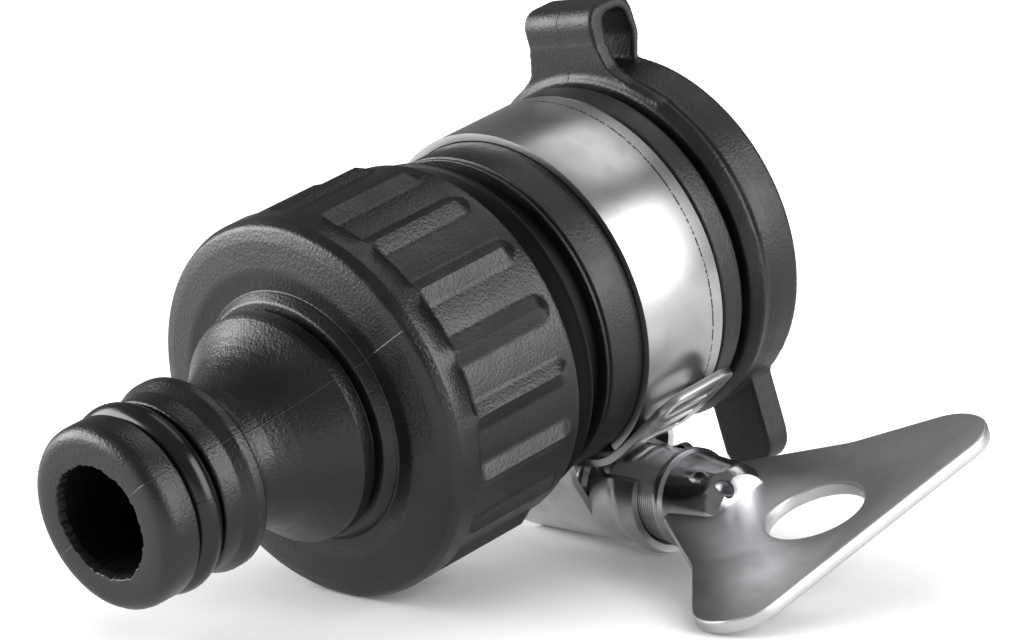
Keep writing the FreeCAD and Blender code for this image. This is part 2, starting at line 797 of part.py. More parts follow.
def slot_cutters():
    """Leaning slots along the band's outer layer and tail, one for each thread pitch."""
    width, length = size("slot_width"), size("slot_length")
    deep, high = size("band_thickness") / 2 + size("layer_gap") / 2, 2 * size("band_thickness")
    cutters = []
    for number in range(-int(size("slots_behind")), int(size("slots_ahead")) + 1):
        cutter = Part.makeBox(length, width, deep + high, Vector(-length / 2, -width / 2, -high))
        cutter.rotate(Vector(), Vector(0, 0, 1), -size("housing_yaw"))
        cutter.Placement = band_place(number * size("slot_pitch")) * cutter.Placement
        cutter.translate(Vector(size("band_mid_x"), 0, 0))
        cutters.append(cutter)
    return cutters


def cut_slots(band):
    """Band with its slots cut."""
    tool = doc.addObject("Part::Feature", "slot_tools")
    tool.Shape = Part.makeCompound(slot_cutters())
    slotted = doc.addObject("Part::Cut", "clamp_band_slotted")
    slotted.Base = band
    slotted.Tool = tool
    band.Label = "clamp_band_strip"
    slotted.Label = "clamp_band"
    return slotted


def omega_outline(sketch, half, foot_z, skirt_z, round_r, round_bottom):
    """Skirt that narrows to a round barrel about the screw's axis."""
    draw_outline(sketch, [
        ("-" + half, "-" + foot_z),
        ("-" + half, "-" + skirt_z),
        ("-" + round_r, "-screw_drop", round_r, 1),
        ("0", "-" + round_bottom, round_r, 1),
        (round_r, "-screw_drop"),
        (half, "-" + skirt_z),
        (half, "-" + foot_z),
    ])


def build_housing():
    """Screw housing: skirt over the band, saddle under it and a barrel open to the band."""
    body = new_body("screw_housing")
    sketch = new_sketch(body, "skirt_end", "XZ_Plane")
    omega_outline(sketch, "skirt_half", "saddle_in_z", "skirt_outer_z", "housing_half", "housing_bottom")
    pad_between(body, "skirt", sketch, "-skirt_rear", "skirt_length")
    sketch = new_sketch(body, "barrel_end", "XZ_Plane")
    draw_circle(sketch, "0", "-screw_drop", "housing_half")
    pad_between(body, "barrel", sketch, "-barrel_rear", "barrel_length")
    sketch = new_sketch(body, "channel_end", "XZ_Plane")
    omega_outline(sketch, "skirt_inner_half", "saddle_out_z", "skirt_z", "barrel_r", "barrel_bottom")
    cut_through(body, "channel", sketch)
    for name, start, length in (
        ("front_trough", "skirt_front", "front_trough_length"),
        ("rear_trough", "-rear_trough_start", "barrel_rear"),
    ):
        sketch = new_sketch(body, name + "_end", "XZ_Plane")
        sketch.setExpression("AttachmentOffset.Base.z", formula_of(start))
        draw_outline(sketch, [
            ("-trough_half", "-trough_top"),
            ("-trough_half", "-trough_z"),
            ("trough_half", "-trough_z"),
            ("trough_half", "-trough_top"),
        ])
        trough = body.newObject("PartDesign::Pocket", name)
        trough.Profile = sketch
        trough.Reversed = True
        bind(trough, Length=length)
    return body, "clamp_turn"


def build_screw():
    """Worm screw with ring threads, collar and staked head, drawn along its own axis."""
    body = new_body("worm_screw")
    turned = revolve(body, "screw_turned", [
        ("-worm_back", "0"),
        ("-worm_back", "worm_root_r"),
        ("screw_collar_start", "worm_root_r"),
        ("screw_collar_start", "screw_collar_r"),
        ("screw_collar_end", "screw_collar_r"),
        ("screw_collar_end", "head_r"),
        ("head_round_x", "head_tip_r", "head_round", -1),
        ("head_end", "head_end_r"),
        ("head_end", "0"),
    ])
    ring = revolve(body, "worm_ring", [
        ("-worm_foot_far", "worm_core_r"),
        ("-worm_first_far", "worm_r"),
        ("-worm_first_near", "worm_r"),
        ("-worm_foot_near", "worm_core_r"),
    ])
    doc.recompute()
    rings = body.newObject("PartDesign::LinearPattern", "worm_rings")
    rings.Originals = [ring]
    rings.Direction = (origin_part(body, "X_Axis"), [""])
    bind(rings, Length="worm_pattern", Occurrences="worm_ring_count")
    body.Tip = rings
    doc.recompute()

    sketch = new_sketch(body, "head_slot_side", "XZ_Plane")
    draw_outline(sketch, [
        ("head_slot_floor", "head_slot_low"),
        ("head_slot_reach_x", "head_slot_low"),
        ("head_slot_reach_x", "head_slot_high"),
        ("head_slot_floor", "head_slot_high"),
    ])
    cut_through(body, "head_slot", sketch)
    return body, None


def build_wing():
    """Two-lobed wing plate with its hole, drawn in the plane of the screw's axis."""
    body = new_body("wing_plate")
    sketch = new_sketch(body, "wing_outline", "XY_Plane")
    draw_outline(sketch, [
        ("wing_root", "-wing_root_half"),
        ("wing_waist", "-wing_waist_half", "wing_waist_r", -1),
        ("wing_shoulder", "-wing_shoulder_half", "wing_tip_r", 1),
        ("wing_end", "-wing_end_half"),
        ("wing_end", "wing_end_half", "wing_tip_r", 1),
        ("wing_shoulder", "wing_shoulder_half", "wing_waist_r", -1),
        ("wing_waist", "wing_waist_half"),
        ("wing_root", "wing_root_half"),
    ])
    draw_circle(sketch, "wing_hole", "0", "wing_hole_r")
    pad_between(body, "wing", sketch, "wing_floor_z", "wing_thickness")
    return body, None


def low_point(shape, up):
    """Lowest point of a meshed shape against an upward direction."""
    return min(shape.tessellate(0.05)[0], key=lambda point: point.dot(up))


def rest_rotation(feet, start_up):
    """Turn that lays the three pieces in feet level and keeps X ahead."""
    up = start_up.normalize()
    for attempt in range(20):
        points = [low_point(shape, up) for shape in feet]
        normal = (points[1] - points[0]).cross(points[2] - points[0]).normalize()
        normal = normal if normal.dot(up) > 0 else normal * -1
        settled = (normal - up).Length < 1e-7
        up = normal
        if settled:
            break
    ahead = Vector(1, 0, 0)
    ahead = (ahead - up * ahead.dot(up)).normalize()
    return Rotation(ahead, up.cross(ahead), up, "ZXY").inverted()


def rest_placement(pieces, feet, start_up):
    """Placement at rest, with the origin under the middle of the bounding box."""
    turn = rest_rotation([piece.Shape for piece in feet], start_up)
    points = [turn.multVec(point) for piece in pieces for point in piece.Shape.tessellate(0.05)[0]]
    spans = [(min(values), max(values)) for values in zip(*[(point.x, point.y, point.z) for point in points])]
    base = Vector(-sum(spans[0]) / 2, -sum(spans[1]) / 2, -spans[2][0])
    return Placement(base, turn)


def finish(pieces):
    """Check every object and piece, then write one file for each piece."""
    doc.recompute()
    for item in doc.Objects:
        if {"Invalid", "Error"} & set(item.State):
            raise RuntimeError(f"{item.Name} failed: {item.State}")
    for piece in pieces:
        if piece.Shape.isNull() or not piece.Shape.isValid():
            raise RuntimeError(f"{piece.Label} has no valid shape")
        piece.Shape.exportStep(f"parts/{piece.Label}.step")
        print(piece.Label, "volume", round(piece.Shape.Volume, 1), "solids", len(piece.Shape.Solids))


connector, connector_turn = build_connector()
nose_ring = build_nose_ring()[0]
seal = build_seal()[0]
insert = build_insert()[0]
sleeve = build_sleeve()[0]
band_body, clamp_angle = build_band()
doc.recompute()
band = cut_slots(band_body)
housing = build_housing()[0]
screw = build_screw()[0]
wing = build_wing()[0]
doc.recompute()

along = Vector(1, 0, 0)
rib_place = Placement(Vector(), Rotation(along, size(connector_turn)))
clamp_place = Placement(Vector(), Rotation(along, size(clamp_angle)))
yaw_place = Placement(Vector(size("band_mid_x"), 0, 0), Rotation(Vector(0, 0, 1), -size("housing_yaw")))
housing_place = clamp_place * yaw_place
axis_place = Placement(Vector(0, 0, -size("screw_drop")), Rotation(Vector(0, 0, 1), -90))
screw_place = housing_place * axis_place * Placement(Vector(), Rotation(along, size("wing_angle")))
places = {
    connector: rib_place,
    nose_ring: Placement(),
    seal: Placement(),
    insert: Placement(),
    sleeve: Placement(),
    band: clamp_place,
    housing: housing_place,
    screw: screw_place,
    wing: screw_place,
}
for piece, place in places.items():
    piece.Placement = place
doc.recompute()
rest = rest_placement(list(places), [connector, housing, wing], Vector(0.2, -0.2, 1))
for piece, place in places.items():
    piece.Placement = rest * place
doc.recompute()
print("rest", rest.Base, rest.Rotation.Axis, rest.Rotation.Angle)
finish(list(places))
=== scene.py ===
"""Dresses the tap adapter: moulded plastic, rubber sleeve and a winged steel band clamp.

Every piece is drawn in millimetres about the sleeve's axis, with X running from the
nipple's face to the sleeve's mouth and Z to the hanging loop, and is then laid down as
the adapter comes to rest.
"""

import logging
from dataclasses import dataclass, field
from enum import Enum
from math import asin, atan2, ceil, cos, degrees, hypot, pi, radians, sin, sqrt, tan

import bmesh
import bpy
import numpy as np
from mathutils import Matrix, Quaternion, Vector


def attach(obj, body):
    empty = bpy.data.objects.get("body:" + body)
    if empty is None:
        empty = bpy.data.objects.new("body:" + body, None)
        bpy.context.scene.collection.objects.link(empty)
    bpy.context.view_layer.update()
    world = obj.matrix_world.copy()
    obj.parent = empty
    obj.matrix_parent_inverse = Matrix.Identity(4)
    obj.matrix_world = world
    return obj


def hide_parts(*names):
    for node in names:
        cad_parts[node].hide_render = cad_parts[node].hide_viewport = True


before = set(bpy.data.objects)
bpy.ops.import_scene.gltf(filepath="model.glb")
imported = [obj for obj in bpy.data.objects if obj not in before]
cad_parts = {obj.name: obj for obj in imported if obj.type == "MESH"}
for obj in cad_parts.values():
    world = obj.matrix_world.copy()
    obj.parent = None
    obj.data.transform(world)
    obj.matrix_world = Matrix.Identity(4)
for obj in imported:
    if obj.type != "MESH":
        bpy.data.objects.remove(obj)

log = logging.getLogger("tap_adapter")
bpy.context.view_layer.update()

Point = tuple[float, float]
Corner = tuple[float, float, float]

MM = 0.001
REST_TURN = Matrix.Rotation(0.2748912793, 4, Vector((-0.5732529, -0.8168148, -0.0647661)))
REST_BASE = Vector((-32.8188955, 10.2583804, 10.3046824))
REST = Matrix.Scale(MM, 4) @ Matrix.Translation(REST_BASE) @ REST_TURN
CLAMP = REST @ Matrix.Rotation(radians(4.74), 4, "X")
HOUSING = CLAMP @ Matrix.Translation((51.3, 0, 0)) @ Matrix.Rotation(radians(-5.95), 4, "Z")
SCREW_DROP = 17.44
SCREW = HOUSING @ Matrix.Translation((0, 0, -SCREW_DROP)) @ Matrix.Rotation(radians(-90), 4, "Z")
WING = SCREW @ Matrix.Rotation(radians(9.7), 4, "X")


class Body(Enum):
    """Bodies that the pieces ride on."""

    SLEEVE_SIDE = "sleeve_side"
    SEAL = "seal"
    CONNECTOR = "connector"
    WING_SCREW = "wing_screw"


# Mesh tools


def deselect() -> None:
    """Leave nothing selected."""
    bpy.ops.object.select_all(action="DESELECT")


def make_active(piece: bpy.types.Object) -> None:
    """Select one piece alone and make it active."""
    deselect()
    piece.select_set(True)
    bpy.context.view_layer.objects.active = piece


def edit(piece: bpy.types.Object) -> bmesh.types.BMesh:
    """Open a piece in edit mode with nothing selected.

    Args:
        piece: The mesh object to open.

    Returns:
        Its edit mesh.
    """
    make_active(piece)
    bpy.ops.object.mode_set(mode="EDIT")
    bpy.ops.mesh.select_mode(type="VERT")
    bpy.ops.mesh.select_all(action="DESELECT")
    return bmesh.from_edit_mesh(piece.data)


def leave_edit() -> None:
    """Go back to object mode."""
    bpy.ops.object.mode_set(mode="OBJECT")


def drawn_loop(name: str, points: list[Vector], filled: bool) -> bpy.types.Object:
    """Closed outline through points, made from a circle with as many corners.

    Args:
        name: Name of the new piece.
        points: The outline's corners in order.
        filled: True for one face inside the outline.

    Returns:
        The new object.
    """
    deselect()
    fill = "NGON" if filled else "NOTHING"
    bpy.ops.mesh.primitive_circle_add(vertices=len(points), fill_type=fill)
    piece = bpy.context.object
    piece.name = piece.data.name = name
    for vertex, point in zip(piece.data.vertices, points):
        vertex.co = point
    return piece


def round_corners(piece: bpy.types.Object, corners: list[tuple[Vector, float]], segments: int) -> None:
    """Round some corners of an outline, each to its own radius.

    Args:
        piece: The outline.
        corners: Place and radius of each corner.
        segments: Steps of each rounding.
    """
    mesh = edit(piece)
    for place, radius in corners:
        mesh = bmesh.from_edit_mesh(piece.data)
        mesh.verts.ensure_lookup_table()
        vertex = min(mesh.verts, key=lambda v: (v.co - place).length)
        arms = [(edge.other_vert(vertex).co - vertex.co) for edge in vertex.link_edges]
        opening = arms[0].angle(arms[1])
        reach = min(radius / tan(opening / 2), 0.45 * min(arm.length for arm in arms))
        bpy.ops.mesh.select_all(action="DESELECT")
        vertex.select_set(True)
        bmesh.update_edit_mesh(piece.data)
        bpy.ops.mesh.bevel(offset=reach, offset_type="OFFSET", segments=segments, affect="VERTICES")
    leave_edit()


def turned(name: str, profile: list[Corner], steps: int = 192, segments: int = 4,
           cuts: tuple[float, float, float] | None = None) -> bpy.types.Object:
    """Piece turned about the X axis from a closed profile.

    Args:
        name: Name of the new piece.
        profile: Corners as place along X, radius and rounding.
        steps: Columns round the axis.
        segments: Steps of each rounding.
        cuts: Start, end and spacing of extra rows along X on the outer side.

    Returns:
        The new object.
    """
    places = [Vector((x, radius, 0)) for x, radius, _ in profile]
    piece = drawn_loop(name, places, filled=False)
    round_corners(piece, [(place, corner[2]) for place, corner in zip(places, profile) if corner[2] > 0], segments)
    mesh = edit(piece)
    if cuts:
        start, end, spacing = cuts
        for edge in list(mesh.edges):
            ends = [vertex.co for vertex in edge.verts]
            low, high = sorted(end.x for end in ends)
            if low >= start - 0.01 and high <= end + 0.01 and min(end.y for end in ends) > 14 and high - low > spacing:
                bmesh.ops.subdivide_edges(mesh, edges=[edge], cuts=ceil((high - low) / spacing) - 1)
        bmesh.update_edit_mesh(piece.data)
    bpy.ops.mesh.select_all(action="SELECT")
    bpy.ops.mesh.spin(steps=steps, angle=2 * pi, center=(0, 0, 0), axis=(1, 0, 0))
    bpy.ops.mesh.select_all(action="SELECT")
    bpy.ops.mesh.remove_doubles(threshold=0.0005)
    bpy.ops.mesh.normals_make_consistent(inside=False)
    leave_edit()
    return piece


def plate(name: str, outline: list[Corner], low: float, high: float, segments: int = 8,
          upright: bool = False) -> bpy.types.Object:
    """Flat plate cut to an outline with rounded corners.

    Args:
        name: Name of the new piece.
        outline: Corners as two coordinates and a rounding.
        low: Lower face.
        high: Upper face.
        segments: Steps of each rounding.
        upright: True for an outline in X and Z that is given its depth along Y.

    Returns:
        The new object.
    """
    def place(a: float, b: float) -> Vector:
        return Vector((a, low, b)) if upright else Vector((a, b, low))

    places = [place(a, b) for a, b, _ in outline]
    piece = drawn_loop(name, places, filled=True)
    round_corners(piece, [(spot, corner[2]) for spot, corner in zip(places, outline) if corner[2] > 0], segments)
    edit(piece)
    bpy.ops.mesh.select_all(action="SELECT")
    rise = (0, high - low, 0) if upright else (0, 0, high - low)
    bpy.ops.mesh.extrude_region_move(TRANSFORM_OT_translate={"value": rise})
    bpy.ops.mesh.select_all(action="SELECT")
    bpy.ops.mesh.normals_make_consistent(inside=False)
    leave_edit()
    return piece


def drum(name: str, radius: float, low: float, high: float, corners: int = 96) -> bpy.types.Object:
    """Round plug along X, used as a cutter or a blank.

    Args:
        name: Name of the new piece.
        radius: Its radius.
        low: Near end along X.
        high: Far end along X.
        corners: Corners round it.

    Returns:
        The new object.
    """
    deselect()
    bpy.ops.mesh.primitive_cylinder_add(vertices=corners, radius=radius, depth=high - low,
                                        location=((low + high) / 2, 0, 0), rotation=(0, pi / 2, 0))
    piece = bpy.context.object
    piece.name = name
    bpy.ops.object.transform_apply(location=True, rotation=True, scale=True)
    return piece


def apply_modifier(piece: bpy.types.Object, kind: str, **settings: object) -> None:
    """Add a modifier with its settings and apply it.

    Args:
        piece: The piece to change.
        kind: Type of the modifier.
        settings: Properties of the modifier.
    """
    make_active(piece)
    modifier = piece.modifiers.new(kind.title(), kind)
    for key, value in settings.items():
        setattr(modifier, key, value)
    bpy.ops.object.modifier_apply(modifier=modifier.name)


def cut(piece: bpy.types.Object, cutter: bpy.types.Object) -> None:
    """Cut one piece with another, which is used up."""
    apply_modifier(piece, "BOOLEAN", operation="DIFFERENCE", solver="EXACT", object=cutter)
    bpy.data.objects.remove(cutter)


def fuse(piece: bpy.types.Object, other: bpy.types.Object) -> None:
    """Join one piece to another, which is used up."""
    apply_modifier(piece, "BOOLEAN", operation="UNION", solver="EXACT", object=other)
    bpy.data.objects.remove(other)


def soften(piece: bpy.types.Object, width: float, segments: int = 2, angle: float = 35) -> None:
    """Round the sharp edges of a piece a little."""
    apply_modifier(piece, "BEVEL", width=width, segments=segments, limit_method="ANGLE",
                   angle_limit=radians(angle), miter_outer="MITER_ARC", harden_normals=False)


def copies(piece: bpy.types.Object, places: list[Matrix]) -> list[bpy.types.Object]:
    """Copies of a piece, each with its own mesh.

    Args:
        piece: The piece to repeat.
        places: One matrix for each copy.

    Returns:
        The new objects.
    """
    made = []
    for number, place in enumerate(places):
        twin = piece.copy()
        twin.data = piece.data.copy()
        twin.name = f"{piece.name}_{number + 1}"
        twin.data.transform(place)
        bpy.context.collection.objects.link(twin)
        made.append(twin)
    return made


def joined(pieces: list[bpy.types.Object], name: str) -> bpy.types.Object:
    """Pieces joined in one object.

    Args:
        pieces: The objects to join.
        name: Name of the result.

    Returns:
        The joined object.
    """
    deselect()
    for piece in pieces:
        piece.select_set(True)
    bpy.context.view_layer.objects.active = pieces[0]
    bpy.ops.object.join()
    pieces[0].name = pieces[0].data.name = name
    return pieces[0]


def coordinates(piece: bpy.types.Object) -> np.ndarray:
    """Vertex places of a piece as an array of three columns."""
    places = np.zeros(len(piece.data.vertices) * 3)
    piece.data.vertices.foreach_get("co", places)
    return places.reshape(-1, 3)


def set_coordinates(piece: bpy.types.Object, places: np.ndarray) -> None:
    """Give the vertices of a piece new places."""
    piece.data.vertices.foreach_set("co", places.ravel())
    piece.data.update()


def lay_down(piece: bpy.types.Object, place: Matrix, smooth: float = 30) -> bpy.types.Object:
    """Put a finished piece at its place in the row frame.

    Args:
        piece: The piece, drawn in millimetres.
        place: From the piece's own frame to the row frame.
        smooth: Largest angle that is shaded smooth.

    Returns:
        The same piece.
    """
    make_active(piece)
    bpy.ops.object.transform_apply(location=True, rotation=True, scale=True)
    piece.data.transform(place)
    bpy.ops.object.shade_smooth_by_angle(angle=radians(smooth))
    return piece


def stand_for(piece: bpy.types.Object, body: Body, slot: str, material: bpy.types.Material,
              *nodes: str) -> bpy.types.Object:
    """Dress a piece, let it ride on its body and stand for its CAD nodes.

    Args:
        piece: The finished piece.
        body: The body that carries it.
        slot: Material slot; not used.
        material: The finish.
        nodes: CAD nodes that it stands for.

    Returns:
        The same piece.
    """
    piece.data.materials.clear()
    piece.data.materials.append(material)
    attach(piece, body.value)
    if nodes:
        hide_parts(*nodes)
    triangles = sum(len(face.vertices) - 2 for face in piece.data.polygons)
    log.info("%s rides on %s, %d triangles", piece.name, body.value, triangles)
    return piece


# Finishes


class Graph:
    """Node tree of a material or group, with a short way to add and link nodes."""

    def __init__(self, tree: bpy.types.NodeTree) -> None:
        """Keep the tree."""
        self.tree = tree

    def node(self, kind: str, **settings: object) -> bpy.types.Node:
        """Add a node.

        Args:
            kind: Its type without the common prefix.
            settings: Its properties.

        Returns:
            The new node.
        """
        made = self.tree.nodes.new("ShaderNode" + kind)
        for key, value in settings.items():
            setattr(made, key, value)
        return made

    def feed(self, socket: bpy.types.NodeSocket, value: object) -> None:
        """Link a socket to another one, or set its number or colour."""
        if isinstance(value, bpy.types.NodeSocket):
            self.tree.links.new(value, socket)
        elif value is not None:
            socket.default_value = value

    def math(self, operation: str, first: object, second: object = None,
             clamp: bool = False) -> bpy.types.NodeSocket:
        """Result of a sum on one or two values."""
        made = self.node("Math", operation=operation, use_clamp=clamp)
        self.feed(made.inputs[0], first)
        self.feed(made.inputs[1], second)
        return made.outputs[0]

    def ramp(self, value: object, low: float, high: float, start: float = 0.0,
             end: float = 1.0) -> bpy.types.NodeSocket:
        """Value led smoothly from one range to another."""
        made = self.node("MapRange", interpolation_type="SMOOTHSTEP")
        for socket, number in zip(made.inputs[:5], (value, low, high, start, end)):
            self.feed(socket, number)
        return made.outputs[0]

    def noise(self, vector: object, scale: float, detail: float = 2.0,
              roughness: float = 0.5) -> bpy.types.NodeSocket:
        """Noise between 0 and 1."""
        made = self.node("TexNoise")
        self.feed(made.inputs["Vector"], vector)
        self.feed(made.inputs["Scale"], scale)
        self.feed(made.inputs["Detail"], detail)
        self.feed(made.inputs["Roughness"], roughness)
        return made.outputs[0]

    def blend(self, mask: object, first: object, second: object) -> bpy.types.NodeSocket:
        """Mix of two colours by a mask."""
        made = self.node("Mix", data_type="RGBA")
        self.feed(made.inputs[0], mask)
        self.feed(made.inputs[6], first)
        self.feed(made.inputs[7], second)
        return made.outputs[2]

    def place(self, name: str, **inputs: object) -> bpy.types.Node:
        """Place a shader group with its values.

        Args:
            name: Name of the group.
            inputs: Value or socket of each named input.

        Returns:
            The group's node.
        """
        made = self.node("Group")
        made.node_tree = bpy.data.node_groups[name]
        for key, value in inputs.items():
            self.feed(made.inputs[key], value)
        return made


def shader_group(name: str, inputs: dict[str, float | None], outputs: list[str]) -> tuple[Graph, dict, object]:
    """New shader group.

    Args:
        name: Name of the group.
        inputs: Inputs with their usual number, or None for a vector.
        outputs: Names of the value outputs.

    Returns:
        Its graph, its inner inputs by name and its output node.
    """
    tree = bpy.data.node_groups.new(name, "ShaderNodeTree")
    for key, value in inputs.items():
        kind = "NodeSocketVector" if value is None else "NodeSocketFloat"
        socket = tree.interface.new_socket(key, in_out="INPUT", socket_type=kind)
        if value is not None:
            socket.default_value = value
    for key in outputs:
        tree.interface.new_socket(key, in_out="OUTPUT", socket_type="NodeSocketFloat")
    inner = tree.nodes.new("NodeGroupInput")
    outer = tree.nodes.new("NodeGroupOutput")
    return Graph(tree), {socket.name: socket for socket in inner.outputs if socket.name}, outer


def build_groups() -> None:
    """Make the effects that several finishes use."""
    graph, given, out = shader_group("moulded_grain", {"Place": None, "Scale": 6.0, "Depth": 0.006}, ["Height", "Mask"])
    fine = graph.node("TexNoise")
    graph.feed(fine.inputs["Vector"], given["Place"])
    graph.feed(fine.inputs["Scale"], given["Scale"])
    graph.feed(fine.inputs["Detail"], 3.0)
    graph.feed(out.inputs["Height"], graph.math("MULTIPLY", fine.outputs[0], given["Depth"]))
    graph.feed(out.inputs["Mask"], graph.noise(given["Place"], 0.35, 3.0))

    graph, given, out = shader_group("mould_seam", {"Place": None, "Turn": 0.0, "Width": 0.07, "Height": 0.03,
                                                    "Start": -9.0, "End": 99.0}, ["Height", "Mask"])
    split = graph.node("SeparateXYZ")
    graph.feed(split.inputs[0], given["Place"])
    across = graph.math("SUBTRACT",
                        graph.math("MULTIPLY", split.outputs["Z"], graph.math("COSINE", given["Turn"])),
                        graph.math("MULTIPLY", split.outputs["Y"], graph.math("SINE", given["Turn"])))
    near = graph.math("DIVIDE", graph.math("ABSOLUTE", across), given["Width"])
    inside = graph.math("MULTIPLY", graph.math("GREATER_THAN", split.outputs["X"], given["Start"]),
                        graph.math("LESS_THAN", split.outputs["X"], given["End"]))
    mask = graph.math("MULTIPLY", graph.math("SUBTRACT", 1.0, near, clamp=True), inside)
    graph.feed(out.inputs["Mask"], mask)
    graph.feed(out.inputs["Height"], graph.math("MULTIPLY", mask, given["Height"]))

    graph, given, out = shader_group("split_line", {"Across": 0.0, "Along": 0.0, "Start": 0.0, "End": 1.0,
                                                    "Width": 0.07}, ["Mask"])
    wander = graph.node("CombineXYZ")
    graph.feed(wander.inputs[0], given["Along"])
    shaky = graph.math("MULTIPLY", graph.math("SUBTRACT", graph.noise(wander.outputs[0], 1.3, 4.0, 0.7), 0.5), 0.7)
    near = graph.math("ABSOLUTE", graph.math("ADD", given["Across"], shaky))
    line = graph.math("LESS_THAN", near, given["Width"])
    inside = graph.math("MULTIPLY", graph.math("GREATER_THAN", given["Along"], given["Start"]),
                        graph.math("LESS_THAN", given["Along"], given["End"]))
    graph.feed(out.inputs["Mask"], graph.math("MULTIPLY", line, inside))

    graph, given, out = shader_group("drawn_lines", {"Place": None, "Scale": 8.0, "Stretch": 0.04, "Depth": 0.002},
                                     ["Height", "Mask"])
    split = graph.node("SeparateXYZ")
    graph.feed(split.inputs[0], given["Place"])
    merge = graph.node("CombineXYZ")
    graph.feed(merge.inputs[0], graph.math("MULTIPLY", split.outputs["X"], given["Stretch"]))
    graph.feed(merge.inputs[1], split.outputs["Y"])
    graph.feed(merge.inputs[2], split.outputs["Z"])
    lines = graph.node("TexNoise")
    graph.feed(lines.inputs["Vector"], merge.outputs[0])
    graph.feed(lines.inputs["Scale"], given["Scale"])
    graph.feed(lines.inputs["Detail"], 3.0)
    graph.feed(out.inputs["Mask"], lines.outputs[0])
    graph.feed(out.inputs["Height"], graph.math("MULTIPLY", lines.outputs[0], given["Depth"]))


def own_place(graph: Graph, place: Matrix) -> bpy.types.NodeSocket:
    """Place on a piece in its own frame, in millimetres.

    Args:
        graph: The material's graph.
        place: From the piece's own frame to the row frame.

    Returns:
        The vector socket.
    """
    back = place.inverted()
    made = graph.node("Mapping", vector_type="POINT")
    made.inputs["Location"].default_value = back.to_translation()
    made.inputs["Rotation"].default_value = back.to_3x3().normalized().to_euler("XYZ")
    made.inputs["Scale"].default_value = (1 / MM,) * 3
    graph.feed(made.inputs["Vector"], graph.node("TexCoord").outputs["Object"])
    return made.outputs[0]


def round_place(graph: Graph, place: bpy.types.NodeSocket, radius: float) -> bpy.types.NodeSocket:
    """Place unrolled about the X axis: arc length, X and distance from the axis."""
    split = graph.node("SeparateXYZ")
    graph.feed(split.inputs[0], place)
    merge = graph.node("CombineXYZ")
    turn = graph.math("ARCTAN2", split.outputs["Z"], split.outputs["Y"])
    graph.feed(merge.inputs[0], graph.math("MULTIPLY", turn, radius))
    graph.feed(merge.inputs[1], split.outputs["X"])
    return merge.outputs[0]


def new_material(name: str) -> tuple[bpy.types.Material, Graph, bpy.types.Node]:
    """New node material.

    Args:
        name: Name of the material.

    Returns:
        The material, its graph and its surface shader.
    """
    material = bpy.data.materials.new(name)
    material.use_nodes = True
    graph = Graph(material.node_tree)
    return material, graph, material.node_tree.nodes["Principled BSDF"]


def raise_surface(graph: Graph, surface: bpy.types.Node, height: bpy.types.NodeSocket,
                  strength: float = 1.0) -> None:
    """Lead a height in millimetres to the surface's normal."""
    bump = graph.node("Bump")
    bump.inputs["Strength"].default_value = strength
    bump.inputs["Distance"].default_value = MM
    graph.feed(bump.inputs["Height"], height)
    graph.feed(surface.inputs["Normal"], bump.outputs[0])


@dataclass(frozen=True)
class MouldedPlastic:
    """Black moulded plastic with a fine spark-eroded grain and the mould's parting line."""

    name: str
    colour: tuple[float, float, float, float] = (0.0045, 0.0045, 0.0048, 1.0)
    worn: tuple[float, float, float, float] = (0.007, 0.007, 0.0074, 1.0)
    roughness: float = 0.35
    grain: float = 4.0
    depth: float = 0.05
    seam_turn: float = 0.0
    seam_height: float = 0.03
    seam_end: float = 22.6
    specular: float = 0.6

    def material(self) -> bpy.types.Material:
        """Build the material."""
        material, graph, surface = new_material(self.name)
        place = own_place(graph, REST)
        grain = graph.place("moulded_grain", Place=place, Scale=self.grain, Depth=self.depth)
        seam = graph.place("mould_seam", Place=place, Turn=radians(self.seam_turn), Height=self.seam_height,
                           End=self.seam_end)
        surface.inputs["Specular IOR Level"].default_value = self.specular
        graph.feed(surface.inputs["Base Color"], graph.blend(grain.outputs["Mask"], self.colour, self.worn))
        rough = graph.ramp(grain.outputs["Mask"], 0.3, 0.7, self.roughness - 0.05, self.roughness + 0.05)
        graph.feed(surface.inputs["Roughness"], rough)
        raise_surface(graph, surface, graph.math("ADD", grain.outputs["Height"], seam.outputs["Height"]))
        return material


